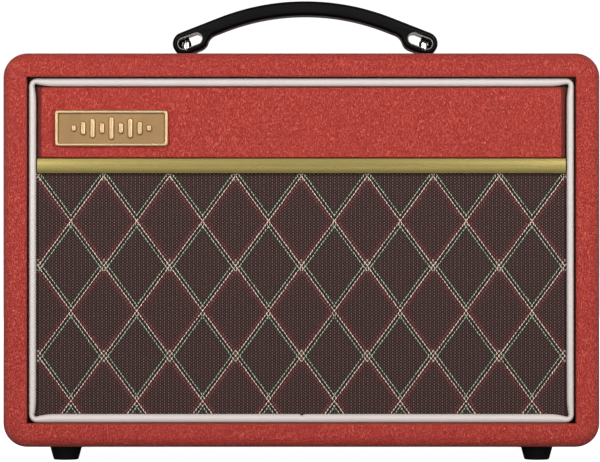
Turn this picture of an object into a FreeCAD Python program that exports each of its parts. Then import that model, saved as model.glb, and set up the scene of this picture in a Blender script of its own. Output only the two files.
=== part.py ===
"""A small guitar amplifier: a covered wooden cabinet with a 165 mm speaker, a ten-watt amplifier under a recessed
control panel in its top, and a strap handle.

Frame: millimetres, +Z up, the player's side at -Y, origin on the ground under the middle of the cabinet.
"""
import FreeCAD, Part
import math
import os
import re

import Sketcher

SHEET = "Sizes"

# Driving dimensions, in millimetres and degrees. Each becomes a cell of the sheet with this alias.
DIMENSIONS = {
    # cabinet, measured over its covering
    "cab_width": 380,
    "cab_depth": 170,
    "cab_height": 251,
    "foot_height": 9,
    "skin": 0.8,
    "board": 13.7,
    "corner_round": 15.3,
    "front_round": 8,
    "rear_round": 3,
    "lip_round": 2.5,
    "front_lining": 22,
    "rear_lining": 12,
    "finger_count": 5,
    "batten": 13,
    # control slot in the top
    "slot_width": 292,
    "slot_depth": 42,
    "slot_centre": 47,
    "slot_round": 6,
    # front: baffle, cloth, piping, panel, trim strip, badge
    "baffle": 12,
    "baffle_gap": 2.5,
    "cloth": 0.8,
    "cloth_return": 10,
    "bead_radius": 2.6,
    "bead_gap": 0.7,
    "bead_recess": 4,
    "bead_corner": 3,
    "flange": 0.6,
    "flange_depth": 10,
    "panel_bottom": 193.1,
    "panel_thick": 4.2,
    "panel_round": 3,
    "strip_bottom": 183.4,
    "strip_bulge": 4.6,
    "badge_centre": -120.9,
    "badge_middle": 212.1,
    "badge_width": 72,
    "badge_tall": 23,
    "badge_thick": 3,
    # speaker
    "spk_centre": 119.5,
    "spk_radius": 82,
    "hole_radius": 73,
    "spk_bolt_circle": 77.5,
    "gasket": 2,
    "sheet_metal": 1.2,
    "cone_radius": 62.5,
    "coil_radius": 12.5,
    "magnet_radius": 45,
    # back panels
    "back_inset": 3,
    "back_board": 9,
    "upper_back_bottom": 196,
    "lower_back_top": 112,
    # chassis and controls
    "chassis_width": 316,
    "chassis_front": 21,
    "chassis_rear": 72,
    "chassis_drop": 40,
    "steel": 1.2,
    "fascia": 0.8,
    "knob_first": -58,
    "knob_pitch": 36,
    "knob_clear": 0.7,
    "knob_tall": 14.5,
    "shaft_radius": 3,
    "running": 0.05,
    "jack_radius": 3.25,
    "jack_deep": 28,
    "input_x": -126,
    "phones_x": 86,
    "channel_x": -92,
    "lamp_x": 108,
    "power_x": 128,
    "inlet_x": 110,
    "inlet_z": 218,
    "rocker_tilt": 10,
    # transformer
    "core_x": 126,
    "core_y": -5,
    # handle
    "handle_x": 2.5,
    "handle_y": -12,
    "handle_top": 297.3,
    "handle_wide": 24,
    "post_base": 264.3,
    "post_tall": 8.1,
    "post_radius": 3.5,
    "post_shank": 2.2,
    "strap_thick": 9.3,
    "arch_radius": 154.6,
    "arch_angle": 21.4,
    "arm": 28,
    "loop_radius": 7.6,
    "eye_radius": 3.5,
    "eye_length": 9.2,
    "post_inset": 1.6,
}

# Lengths worked out from the driving ones, as formulas. Heights are over the ground; "_x" is half a width.
FORMULAS = {
    "front": "-cab_depth / 2",
    "rear": "cab_depth / 2",
    "side": "cab_width / 2",
    "cab_top": "foot_height + cab_height",
    "cab_mid": "foot_height + cab_height / 2",
    "wall": "board + 2 * skin",
    "inner_x": "side - skin - board",
    "floor": "foot_height + skin + board",
    "ceiling": "cab_top - skin - board",
    "open_x": "side - wall",
    "open_low": "foot_height + wall",
    "open_high": "cab_top - wall",
    "bead_y": "front + bead_recess + bead_radius",
    "bead_x": "open_x - bead_gap - bead_radius",
    "bead_low": "open_low + bead_gap + bead_radius",
    "bead_high": "open_high - bead_gap - bead_radius",
    "cloth_front": "bead_y + bead_radius",
    "baffle_front": "cloth_front + cloth",
    "baffle_back": "baffle_front + baffle",
    "baffle_x": "open_x - baffle_gap",
    "baffle_low": "open_low + baffle_gap",
    "baffle_high": "open_high - baffle_gap",
    "batten_front": "baffle_back + cloth",
    "strip_x": "bead_x - bead_radius - 0.3",
    "panel_x": "bead_x - bead_radius - 0.3",
    "panel_top": "bead_high - bead_radius - 0.3",
    "panel_front": "cloth_front - panel_thick",
    "back_face": "rear - back_inset",
    "back_inner": "back_face - back_board",
    "back_x": "open_x - 0.5",
    "plate_low": "ceiling - steel",
    "fascia_top": "ceiling + fascia",
    "fascia_x": "slot_width / 2 - 0.5",
    "fascia_y": "slot_depth / 2 - 0.5",
    "pot_low": "plate_low - 8",
    "pcb_low": "pot_low - 1.6",
    "nut_low": "fascia_top + 0.5",
    "knob_low": "fascia_top + knob_clear",
    "spk_back": "baffle_back",
}

doc = FreeCAD.newDocument("guitar_amplifier")
sizes = doc.addObject("Spreadsheet::Sheet", SHEET)
for row, (alias, number) in enumerate(DIMENSIONS.items(), start=1):
    sizes.set(f"A{row}", alias)
    sizes.set(f"B{row}", str(number))
    sizes.setAlias(f"B{row}", alias)
doc.recompute()

AXIS_TURN = {
    "Z": FreeCAD.Rotation(),
    "X": FreeCAD.Rotation(FreeCAD.Vector(0, 1, 0), 90),
    "Y": FreeCAD.Rotation(FreeCAD.Vector(1, 0, 0), -90),
    "-Y": FreeCAD.Rotation(FreeCAD.Vector(1, 0, 0), 90),
}
sub_parts = []


# ---- how pieces are made -------------------------------------------------------------------------------------------

def size(alias):
    """A driving dimension as a number, for the few shapes that are set directly."""
    return float(sizes.get(alias))


def bound(formula):
    """A formula with its names pointed at the sheet's cells, for setExpression."""
    def look_up(word):
        name = word.group()
        if name in FORMULAS:
            return f"({bound(FORMULAS[name])})"
        return f"{SHEET}.{name}" if name in DIMENSIONS else name
    return re.sub(r"[a-z_]+[a-z_0-9]*", look_up, str(formula))


def bind(thing, **formulas):
    for name, formula in formulas.items():
        thing.setExpression(name, bound(formula))
    return thing


def place(thing, x=0, y=0, z=0, axis="Z"):
    """Puts a piece's own origin at a point, with its own Z along an axis of the frame."""
    thing.Placement = FreeCAD.Placement(FreeCAD.Vector(), AXIS_TURN[axis])
    for name, formula in (("x", x), ("y", y), ("z", z)):
        thing.setExpression(f"Placement.Base.{name}", bound(formula))
    return thing


def add(kind, label):
    thing = doc.addObject(kind, label)
    thing.Label = label
    return thing


def kept(thing):
    """Marks a piece as a sub-part, which is written to its own file."""
    sub_parts.append(thing)
    return thing


def block(label, x, y, z):
    """A box given by its two limits along each axis."""
    box = add("Part::Box", label)
    bind(box, Length=f"({x[1]}) - ({x[0]})", Width=f"({y[1]}) - ({y[0]})", Height=f"({z[1]}) - ({z[0]})")
    return place(box, x[0], y[0], z[0])


def rod(label, radius, length, x=0, y=0, z=0, axis="Z"):
    """A cylinder that starts at a point and runs along an axis."""
    cylinder = add("Part::Cylinder", label)
    bind(cylinder, Radius=radius, Height=length)
    return place(cylinder, x, y, z, axis)


def hexagon(label, across_flats, length, x, y, z):
    prism = add("Part::Prism", label)
    prism.Polygon = 6
    bind(prism, Circumradius=f"({across_flats}) / 2 / cos(30)", Height=length)
    return place(prism, x, y, z)


def fused(label, *pieces):
    union = add("Part::MultiFuse", label)
    union.Shapes = list(pieces)
    return union


def cut(label, base, *tools):
    """The base with each tool taken away in turn."""
    for number, tool in enumerate(tools, start=1):
        last = number == len(tools)
        step = add("Part::Cut", label if last else f"{label}_cut_{number}")
        step.Base, step.Tool = base, tool
        base = step
    return base


def common(label, base, tool):
    both = add("Part::Common", label)
    both.Base, both.Tool = base, tool
    return both


def grouped(label, pieces):
    """Several separate solids in one node."""
    compound = add("Part::Compound", label)
    compound.Links = list(pieces)
    return compound


def shaped(label, shape):
    """A piece whose shape comes from Part's own functions."""
    feature = add("Part::Feature", label)
    feature.Shape = shape
    return feature


def body_plane(body, role):
    return next(plane for plane in body.Origin.OriginFeatures if plane.Role == role)


def profile(body, role, corners):
    """A closed sketch of straight edges on one of the body's planes, with every corner tied to the sheet."""
    sketch = body.newObject("Sketcher::SketchObject", f"{body.Name}_profile")
    sketch.AttachmentSupport = [(body_plane(body, role), "")]
    sketch.MapMode = "FlatFace"
    count = len(corners)
    angles = [2 * math.pi * i / count for i in range(count)]
    guess = [FreeCAD.Vector(math.cos(a), math.sin(a), 0) for a in angles]
    for i in range(count):
        sketch.addGeometry(Part.LineSegment(guess[i], guess[(i + 1) % count]), False)
    for i in range(count):
        sketch.addConstraint(Sketcher.Constraint("Coincident", i, 2, (i + 1) % count, 1))
    for i, (across, along) in enumerate(corners):
        for kind, formula in (("DistanceX", across), ("DistanceY", along)):
            number = sketch.addConstraint(Sketcher.Constraint(kind, -1, 1, i, 1, 1.0))
            sketch.setExpression(f"Constraints[{number}]", bound(formula))
    return sketch


def turned(label, corners, x=0, y=0, z=0, axis="Z"):
    """A solid of revolution. Corners are (radius, height along the axis)."""
    body = add("PartDesign::Body", label)
    sketch = profile(body, "XZ_Plane", corners)
    revolution = body.newObject("PartDesign::Revolution", f"{label}_turn")
    revolution.Profile = sketch
    revolution.ReferenceAxis = (sketch, ["V_Axis"])
    revolution.Angle = 360
    return place(body, x, y, z, axis)


def padded(label, corners, length, role="XY_Plane", middle=False):
    """A body that holds one padded outline, and the pad."""
    body = add("PartDesign::Body", label)
    sketch = profile(body, role, corners)
    pad = body.newObject("PartDesign::Pad", f"{label}_pad")
    pad.Profile = sketch
    pad.setExpression("Length", bound(length))
    pad.Midplane = middle
    return body


def rounded(body, radius, choose):
    """Fillets the edges of the body's last feature that the test picks, in the body's own frame."""
    doc.recompute()
    base = body.Tip
    names = [f"Edge{i}" for i, edge in enumerate(base.Shape.Edges, start=1) if choose(edge)]
    if not names:
        raise RuntimeError(f"{body.Label}: no edge to round")
    fillet = body.newObject("PartDesign::Fillet", f"{body.Name}_round")
    fillet.Base = (base, names)
    fillet.setExpression("Radius", bound(radius))
    body.Tip = fillet
    return body


def rectangle(x_half, low, high):
    return [(f"-({x_half})", low), (x_half, low), (x_half, high), (f"-({x_half})", high)]


def runs_along(edge, axis):
    """True if the edge is straight along the axis, numbered 0, 1 or 2."""
    start, end = edge.Vertexes[0].Point, edge.Vertexes[-1].Point
    others = [i for i in range(3) if i != axis]
    return all(abs(start[i] - end[i]) < 1e-6 for i in others) and edge.Length > 1e-3


def lies_at(edge, axis, where):
    box = edge.BoundBox
    low, high = ((box.XMin, box.XMax), (box.YMin, box.YMax), (box.ZMin, box.ZMax))[axis]
    return abs(low - where) < 1e-4 and abs(high - where) < 1e-4


def vec(x=0, y=0, z=0):
    return FreeCAD.Vector(x, y, z)


def route(label, radius, points, bend):
    """A round wire through points, with a tangent arc at every corner."""
    corners = [vec(*p) for p in points]
    edges, start = [], corners[0]
    for before, corner, after in zip(corners, corners[1:], corners[2:]):
        into, out = (corner - before).normalize(), (after - corner).normalize()
        half = into.getAngle(out) / 2
        reach = bend * math.tan(half)
        first, last = corner - into * reach, corner + out * reach
        middle = corner + (out - into).normalize() * (bend / math.cos(half) - bend)
        edges += [Part.makeLine(start, first), Part.Arc(first, middle, last).toShape()]
        start = last
    edges.append(Part.makeLine(start, corners[-1]))
    circle = Part.makeCircle(radius, corners[0], corners[1] - corners[0])
    return shaped(label, Part.Wire(edges).makePipeShell([Part.Wire([circle])], True, False))


# ---- cabinet: four boards with finger joints, under a glued covering -------------------------------------------------

def tube(label, outset, opening, front_radius, rear_radius, inner_radius):
    """A box open at front and back, all its edges eased. Outset is how far its faces are in from the covering's."""
    body = padded(label, rectangle(f"side - {outset}", f"foot_height + {outset}", f"cab_top - {outset}"),
                  f"cab_depth - 2 * {outset}", "XZ_Plane", middle=True)
    rounded(body, f"corner_round - {outset}", lambda edge: runs_along(edge, 1))
    face = size("cab_depth") / 2 - (0 if outset == "0" else size("skin"))
    rounded(body, front_radius, lambda edge: lies_at(edge, 1, -face))
    rounded(body, rear_radius, lambda edge: lies_at(edge, 1, face))
    hole = profile(body, "XZ_Plane", opening)
    pocket = body.newObject("PartDesign::Pocket", f"{label}_open")
    pocket.Profile = hole
    pocket.Type = "ThroughAll"
    pocket.Midplane = True
    doc.recompute()
    rounded(body, inner_radius, lambda edge: lies_at(edge, 1, -face) and edge.Length > 150
            and abs(edge.BoundBox.Center.x) < size("cab_width") / 2 - size("board")
            and edge.BoundBox.ZMin > size("foot_height") + size("board")
            and edge.BoundBox.ZMax < size("foot_height") + size("cab_height") - size("board"))
    return body


ACROSS = ("-side", "side")
THROUGH = ("front", "rear")
slot_low, slot_high = "slot_centre - slot_depth / 2", "slot_centre + slot_depth / 2"


def control_slot(label, clear):
    """The opening in the top over the control panel, with round corners."""
    across = f"slot_width / 2 + {clear}"
    corners = [(f"-({across})", f"{slot_low} - {clear}"), (across, f"{slot_low} - {clear}"),
               (across, f"{slot_high} + {clear}"), (f"-({across})", f"{slot_high} + {clear}")]
    body = padded(label, corners, "2 * board")
    rounded(body, f"slot_round + {clear}", lambda edge: runs_along(edge, 2))
    return place(body, 0, 0, "ceiling - 1")


covering_form = tube("covering_form", "0", rectangle("open_x", "open_low", "open_high"),
                     "front_round", "rear_round", "lip_round")
board_form = tube("board_form", "skin", rectangle("inner_x", "floor", "ceiling"),
                  "front_round - skin", "rear_round - skin", "lip_round - skin")


def finger(i, sign, end):
    """The i-th finger region of one corner, counted from the front."""
    low, high = (f"front + {n} * cab_depth / finger_count" for n in (i, i + 1))
    x = ("-side", "-inner_x") if sign < 0 else ("inner_x", "side")
    z = ("foot_height", "floor") if end < 0 else ("ceiling", "cab_top")
    return block("finger", x, (low, high), z)


def side_board(label, sign):
    x = ("-side", "-inner_x") if sign < 0 else ("inner_x", "side")
    region = [block("web", x, THROUGH, ("floor", "ceiling"))]
    region += [finger(i, sign, end) for i in (0, 2, 4) for end in (-1, 1)]
    return common(label, board_form, fused("side_region", *region))


def flat_board(label, end):
    z = ("foot_height", "floor") if end < 0 else ("ceiling", "cab_top")
    region = [block("web", ("-inner_x", "inner_x"), THROUGH, z)]
    region += [finger(i, sign, end) for i in (1, 3) for sign in (-1, 1)]
    return common(label, board_form, fused("flat_region", *region))


# Screws and bolts come first, because the wood is drilled with them.

def screw(head_radius, head_tall, shank_radius, length, x, y, z, axis):
    """A pan-head screw. The point is under its head, and the shank runs along the axis."""
    opposite = {"Z": (0, 0, -1), "Y": (0, -1, 0), "-Y": (0, 1, 0)}[axis]
    spot = [f"({value}) + {sign} * {head_tall}" for value, sign in zip((x, y, z), opposite)]
    head = rod("head", head_radius, head_tall, *spot, axis)
    shank = rod("shank", shank_radius, length, x, y, z, axis)
    return fused("screw", head, shank)


baffle_screws = [screw(3.5, 1.8, 1.75, 22, x, "batten_front + batten", z, "-Y")
                 for x, z in (("inner_x - 6.5", 62), ("inner_x - 6.5", 180), ("-(inner_x - 6.5)", 62),
                              ("-(inner_x - 6.5)", 180), (95, "ceiling - 6.5"), (-95, "ceiling - 6.5"),
                              (95, "floor + 6.5"), (-95, "floor + 6.5"))]
foot_spots = [(x, y) for x in (-151.3, 151.3) for y in (-60, 60)]
foot_screws = [screw(3.6, 1.8, 1.75, 14, x, y, 5, "Z") for x, y in foot_spots]
chassis_screws = [screw(3.5, 1.8, 1.75, 10, x, y, "plate_low", "Z")
                  for x in (-152, 152) for y in ("chassis_front + 6", "chassis_rear - 6")]
wood_screws = kept(grouped("wood_screws", baffle_screws + foot_screws + chassis_screws))
panel_screws = kept(grouped("panel_screws", [
    screw(4, 2, 1.75, 19, x, "back_face", z, "-Y")
    for x in ("inner_x - 6.5", "-(inner_x - 6.5)") for z in (206, 234, 36, 100)]))

post_spread = "(arch_radius * sin(arch_angle) + arm * cos(arch_angle) - loop_radius * sin(arch_angle) - post_inset)"
post_spots = [f"handle_x + {sign} * {post_spread}" for sign in (-1, 1)]


def post_hole(label, radius, low, high):
    return grouped(label, [rod("drill", radius, f"({high}) - ({low})", x, "handle_y", low) for x in post_spots])


kept(side_board("left_side_board", -1))
kept(side_board("right_side_board", 1))
kept(cut("top_board", flat_board("top_blank", 1), control_slot("slot_in_board", "skin"), wood_screws,
         post_hole("post_drill", "post_shank", "ceiling - 1", "cab_top + 1")))
kept(cut("bottom_board", flat_board("bottom_blank", -1), wood_screws))

lining_gap = block("lining_gap", ("-inner_x", "inner_x"), ("front + front_lining", "rear - rear_lining"),
                   ("floor", "ceiling"))
slotted_form = cut("slotted_form", board_form, control_slot("slot_in_form", "skin"))
kept(cut("vinyl_covering", covering_form, slotted_form, lining_gap, control_slot("slot_in_covering", "0"),
         wood_screws, post_hole("covering_drill", "post_shank", "cab_top - 2", "cab_top + 1")))

batten_in = "inner_x - batten"
front_run = ("batten_front", "batten_front + batten")
rear_run = ("back_inner - batten", "back_inner")
battens = []
for run in (front_run, rear_run):
    for x in (("-inner_x", f"-({batten_in})"), (batten_in, "inner_x")):
        battens.append(block("batten", x, run, ("floor", "ceiling")))
    battens.append(block("batten", (f"-({batten_in})", batten_in), run, ("floor", "floor + batten")))
battens.append(block("batten", (f"-({batten_in})", batten_in), front_run, ("ceiling - batten", "ceiling")))
batten_blank = grouped("batten_blank", battens)
kept(cut("cabinet_battens", batten_blank, wood_screws, panel_screws))

feet = []
for x, y in foot_spots:
    blank = turned("foot_form", [(1.75, 0), (7.95, 0), (8.2, 0.6), (10.4, "foot_height"), (1.75, "foot_height")], x, y)
    feet.append(cut("foot", blank, rod("recess", 4.2, 5, x, y, 0)))
kept(grouped("rubber_feet", feet))

# ---- front ---------------------------------------------------------------------------------------------------------

baffle_block = block("baffle_block", ("-baffle_x", "baffle_x"), ("baffle_front", "baffle_back"),
                     ("baffle_low", "baffle_high"))
bolt_spots = [(f"spk_bolt_circle * cos({a})", f"spk_centre + spk_bolt_circle * sin({a})") for a in (45, 135, 225, 315)]
bolt_bore = grouped("bolt_bore", [rod("drill", 2, 40, x, "baffle_front - 1", z, "Y") for x, z in bolt_spots])
kept(cut("baffle_board", baffle_block, rod("speaker_hole", "hole_radius", 30, 0, "front", "spk_centre", "Y"),
         bolt_bore, wood_screws))

cloth_block = block("cloth_block", ("-baffle_x - cloth", "baffle_x + cloth"), ("cloth_front", "batten_front"),
                    ("baffle_low - cloth", "baffle_high + cloth"))
cloth_window = block("cloth_window", ("-baffle_x + cloth_return", "baffle_x - cloth_return"),
                     ("baffle_back", "batten_front + 1"), ("baffle_low + cloth_return", "baffle_high - cloth_return"))
cloth_core = block("cloth_core", ("-baffle_x", "baffle_x"), ("baffle_front", "baffle_back"),
                   ("baffle_low", "baffle_high"))
kept(cut("grille_cloth", cloth_block, cloth_core, cloth_window, wood_screws))

bead = size("bead_radius")
bead_corner = size("bead_corner")
bead_y = size("bead_recess") + bead - size("cab_depth") / 2
opening = size("board") + 2 * size("skin") + size("bead_gap") + bead
bead_x = size("cab_width") / 2 - opening
bead_low = size("foot_height") + opening
bead_high = size("foot_height") + size("cab_height") - opening
corners = [vec(sx * bead_x, bead_y, z) for sx, z in ((-1, bead_low), (1, bead_low), (1, bead_high), (-1, bead_high))]
path = []
for i, corner in enumerate(corners):
    into = (corner - corners[i - 1]).normalize()
    out = (corners[(i + 1) % 4] - corner).normalize()
    first, last = corner - into * bead_corner, corner + out * bead_corner
    middle = corner + (out - into).normalize() * (bead_corner * (math.sqrt(2) - 1))
    following = corners[(i + 1) % 4] - out * bead_corner
    path += [Part.Arc(first, middle, last).toShape(), Part.makeLine(last, following)]
ring = Part.Wire(Part.sortEdges(path)[0])
section = Part.Wire([Part.makeCircle(bead, vec(-bead_x, bead_y, bead_low + bead_corner), vec(0, 0, 1))])
bead_ring = shaped("bead_ring", ring.makePipeShell([section], True, True))
flange_outer = block("flange_outer", ("-open_x + 0.1", "open_x - 0.1"), ("bead_y", "bead_y + flange_depth"),
                     ("open_low + 0.1", "open_high - 0.1"))
flange_inner = block("flange_inner", ("-open_x + 0.1 + 2 * flange", "open_x - 0.1 - 2 * flange"),
                     ("bead_y - 1", "bead_y + flange_depth + 1"),
                     ("open_low + 0.1 + 2 * flange", "open_high - 0.1 - 2 * flange"))
kept(fused("piping", bead_ring, cut("flange_ring", flange_outer, flange_inner)))

panel_form = padded("panel_form", rectangle("panel_x", "panel_bottom", "panel_top"), "panel_thick")
panel_form.Placement = FreeCAD.Placement(vec(), AXIS_TURN["-Y"])
panel_form.setExpression("Placement.Base.y", bound("cloth_front"))
rounded(panel_form, "panel_round", lambda edge: lies_at(edge, 2, size("panel_thick")))
core_block = block("core_block", ("-panel_x + skin", "panel_x - skin"), ("panel_front + skin", "cloth_front"),
                   ("panel_bottom + skin", "panel_top - skin"))
pin_holes = grouped("pin_holes", [rod("pin", 1, 5, f"badge_centre + {d}", "panel_front - 1.5", "badge_middle", "Y")
                                  for d in (-28, 28)])
kept(cut("front_panel_board", core_block, pin_holes))
kept(cut("front_panel_vinyl", panel_form, core_block, pin_holes))

strip_half = size("panel_bottom") / 2 - size("strip_bottom") / 2
strip_back = bead_y + bead
strip_ends = (vec(-size("cab_width") / 2, strip_back, size("strip_bottom")),
              vec(-size("cab_width") / 2, strip_back, size("panel_bottom")))
crown = vec(-size("cab_width") / 2, strip_back - size("strip_bulge"), size("strip_bottom") + strip_half)
strip_face = Part.Face(Part.Wire([Part.Arc(strip_ends[0], crown, strip_ends[1]).toShape(),
                                  Part.makeLine(strip_ends[1], strip_ends[0])]))
strip_bar = shaped("strip_bar", strip_face.extrude(vec(size("cab_width"), 0, 0)))
kept(common("trim_strip", strip_bar, block("strip_span", ("-strip_x", "strip_x"), THROUGH, ("open_low", "open_high"))))

badge_x = ("badge_centre - badge_width / 2", "badge_centre + badge_width / 2")
badge_z = ("badge_middle - badge_tall / 2", "badge_middle + badge_tall / 2")
plate = block("badge_plate", badge_x, ("panel_front - badge_thick", "panel_front"), badge_z)
field = block("badge_field", [f"{v} {s} 2" for v, s in zip(badge_x, "+-")],
              ("panel_front - badge_thick - 1", "panel_front - 1.6"), [f"{v} {s} 2" for v, s in zip(badge_z, "+-")])
bars = [block("bar", (f"badge_centre + {6 * i} - 1.6", f"badge_centre + {6 * i} + 1.6"),
              ("panel_front - badge_thick + 0.2", "panel_front - 1"),
              (f"badge_middle - {tall}", f"badge_middle + {tall}"))
        for i, tall in zip(range(-4, 5), (2.2, 4.4, 6.4, 3.6, 7.4, 3.6, 6.4, 4.4, 2.2))]
pins = [rod("pin", 1, 4.5, f"badge_centre + {d}", "panel_front - 1", "badge_middle", "Y") for d in (-28, 28)]
kept(fused("badge", cut("badge_rim", plate, field), *bars, *pins))

# ---- back ----------------------------------------------------------------------------------------------------------

inlet_window = block("inlet_window", ("inlet_x - 29", "inlet_x + 29"), ("back_inner - 1", "rear"),
                     ("inlet_z - 15", "inlet_z + 15"))


def back_panel(label, low, high, *holes):
    body = padded(f"{label}_form", rectangle("back_x", low, high), "back_board")
    body.Placement = FreeCAD.Placement(vec(), AXIS_TURN["-Y"])
    body.setExpression("Placement.Base.y", bound("back_face"))
    rounded(body, 1.5, lambda edge: lies_at(edge, 2, 0))
    return kept(cut(label, body, panel_screws, *holes))


back_panel("upper_back_panel", "upper_back_bottom", "open_high - 0.5", inlet_window)
back_panel("lower_back_panel", "open_low + 0.5", "lower_back_top")

# ---- speaker: heights are measured back from the baffle --------------------------------------------------------------

def speaker_turned(label, corners):
    return turned(label, corners, 0, "spk_back", "spk_centre", "Y")


gasket_blank = speaker_turned("gasket_form", [(67, 0), ("spk_radius", 0), ("spk_radius", "gasket"), (67, "gasket")])
kept(cut("speaker_gasket", gasket_blank, bolt_bore))

basket = turned("basket_form", [
    (65, "gasket"), ("spk_radius", "gasket"), ("spk_radius", "gasket + sheet_metal"), (67.5, "gasket + sheet_metal"),
    (52, 27.2), (39.2, 27.2), (39.2, 36.2), (14, 36.2), (14, 35), (38, 35), (38, 26), (51.2, 26)],
    0, "spk_back", "spk_centre", "Y")
window = profile(basket, "XY_Plane", [(42, -14), (60, -19), (60, 19), (42, 14)])
window_cut = basket.newObject("PartDesign::Pocket", "window")
window_cut.Profile = window
window_cut.Length = 30
window_cut.Midplane = False
window_cut.Reversed = True
spread = basket.newObject("PartDesign::PolarPattern", "windows")
spread.Originals = [window_cut]
spread.Axis = (window, ["N_Axis"])
spread.Angle = 360
spread.Occurrences = 6
basket.Tip = spread
kept(cut("speaker_basket", basket, bolt_bore))

kept(speaker_turned("speaker_cone", [(59.4, 1.6), (60.2, 1.6), (14, 25.4), (12.8, 25.4), (12.8, 24.8)]))
kept(speaker_turned("dust_cap", [(0, 12), (0, 11.2), (8, 12.4), (14, 15.2), (20.4, 20.6), (20, 21.2), (13.6, 16),
                                 (8, 13.2)]))
kept(speaker_turned("speaker_surround", [(60.2, 1.6), (60.2, 1), (61.4, -0.8), (63, -1.6), (64.8, -0.6),
                                         (65.6, 1.2), (66.8, 1.2), (66.8, 2), (65.1, 2), (64, 0.2), (62.8, -0.8),
                                         (61.6, 0), (60.9, 1.6)]))
kept(speaker_turned("spider", [(13.45, 29), (13.45, 28.4), (18, 28.4), (20, 29.4), (22.5, 28), (25, 29.4), (27.5, 28),
                               (30, 29.4), (32.5, 28), (34, 28.6), (37.9, 28.6), (37.9, 29.2), (33.5, 29.2),
                               (32.5, 28.7), (30, 30.1), (27.5, 28.7), (25, 30.1), (22.5, 28.7), (20, 30.1),
                               (18, 29)]))
kept(speaker_turned("voice_coil", [("coil_radius", 24), (12.8, 24), (12.8, 36.5), (13.35, 36.5), (13.35, 45),
                                   ("coil_radius", 45)]))
kept(speaker_turned("speaker_top_plate", [(14.1, 36.2), (40, 36.2), (40, 41.2), (14.1, 41.2)]))
kept(speaker_turned("speaker_magnet", [(22, 41.2), ("magnet_radius", 41.2), ("magnet_radius", 56.2), (22, 56.2)]))
kept(speaker_turned("speaker_yoke", [(0, 36.4), (11.8, 36.4), (11.8, 56.2), (40, 56.2), (40, 61.2), (0, 61.2)]))

tag_z = "spk_centre + 39.2"
tag_y = ("spk_back + 30", "spk_back + 31.6")
tag_board = block("tag_board", (-9, 9), tag_y, (tag_z, f"{tag_z} + 12"))
lugs = [block("lug", (x - 1.6, x + 1.6), ("spk_back + 31.6", "spk_back + 32.4"), (f"{tag_z} + 3", f"{tag_z} + 17"))
        for x in (-5, 5)]
kept(fused("speaker_terminals", tag_board, *lugs))

bolts = []
for x, z in bolt_spots:
    shank = rod("shank", 2, 22, x, "baffle_front", z, "Y")
    nut = place(hexagon("nut", 7, 3.2, 0, 0, 0), x, "spk_back + gasket + sheet_metal", z, "Y")
    bolts.append(fused("bolt", shank, nut))
kept(grouped("speaker_bolts", bolts))

lead_top = size("foot_height") + size("cab_height") - 25.3
spk_y = bead_y + bead + size("cloth") + size("baffle")
lead_end = size("spk_centre") + 39.2 + 18.2
kept(grouped("speaker_leads", [
    route("lead", 0.9, [(x, 45, lead_top), (x, 45, 205), (x, spk_y + 32, 196), (x, spk_y + 32, lead_end - 1)], 6)
    for x in (-5, 5)]))

# ---- amplifier under the top -----------------------------------------------------------------------------------------

knob_spots = {name: f"knob_first + {i} * knob_pitch" for i, name in enumerate(("gain", "volume", "treble", "bass"))}
jack_spots = ("input_x", "phones_x")


def panel_holes(label, extra):
    """Every hole that goes down through the control panel and the chassis under it."""
    low, tall = "plate_low - 1", 6
    holes = [rod("hole", f"3.5 + {extra}", tall, x, "slot_centre", low) for x in knob_spots.values()]
    holes += [rod("hole", f"4.75 + {extra}", tall, x, "slot_centre", low) for x in jack_spots]
    holes += [rod("hole", f"4.3 + {extra}", tall, "channel_x", "slot_centre", low),
              rod("hole", f"3 + {extra}", tall, "lamp_x", "slot_centre", low),
              block("hole", (f"power_x - 6.5 - {extra}", f"power_x + 6.5 + {extra}"),
                    (f"slot_centre - 9.5 - {extra}", f"slot_centre + 9.5 + {extra}"), (low, f"{low} + 6"))]
    return grouped(label, holes)


chassis_side = "chassis_width / 2"
shell = block("shell", (f"-{chassis_side}", chassis_side), ("chassis_front", "chassis_rear"),
              ("ceiling - chassis_drop", "ceiling"))
hollow = block("hollow", (f"-{chassis_side} + steel", f"{chassis_side} - steel"),
               ("chassis_front + steel", "chassis_rear - steel"), ("ceiling - chassis_drop - 1", "plate_low"))
inlet_hole = block("inlet_hole", ("inlet_x - 13.6", "inlet_x + 13.6"), ("chassis_rear - 5", "chassis_rear + 5"),
                   ("inlet_z - 10.1", "inlet_z + 10.1"))
kept(cut("chassis", shell, hollow, panel_holes("chassis_holes", 0), inlet_hole, wood_screws))

fascia_form = padded("fascia_form", [(f"-(fascia_x)", f"slot_centre - fascia_y"), ("fascia_x", "slot_centre - fascia_y"),
                                     ("fascia_x", "slot_centre + fascia_y"), ("-(fascia_x)", "slot_centre + fascia_y")],
                     "fascia")
rounded(fascia_form, "slot_round - 0.5", lambda edge: runs_along(edge, 2))
place(fascia_form, 0, 0, "ceiling")
kept(cut("control_panel", fascia_form, panel_holes("fascia_holes", 0)))

bodies, nuts = [], []
for name, x in knob_spots.items():
    can = rod("can", 8, 8, x, "slot_centre", "pot_low")
    bushing = rod("bushing", 3.45, 12.8, x, "slot_centre", "pot_low")
    tail = block("tail", (f"{x} - 6", f"{x} + 6"), ("slot_centre - 14", "slot_centre"), ("pot_low", "pot_low + 1.6"))
    bodies.append(cut("pot", fused("pot_solid", can, bushing, tail),
                      rod("bore", "shaft_radius + running", 12, x, "slot_centre", "pot_low + 1.5")))
    washer = rod("washer", 5.4, 0.5, x, "slot_centre", "fascia_top")
    nut = hexagon("nut", 10, 2, x, "slot_centre", "nut_low")
    nuts.append(cut("pot_nut", fused("nut_stack", washer, nut), rod("bore", 3.45, 4, x, "slot_centre", "fascia_top - 1")))
kept(grouped("potentiometers", bodies))

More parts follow.
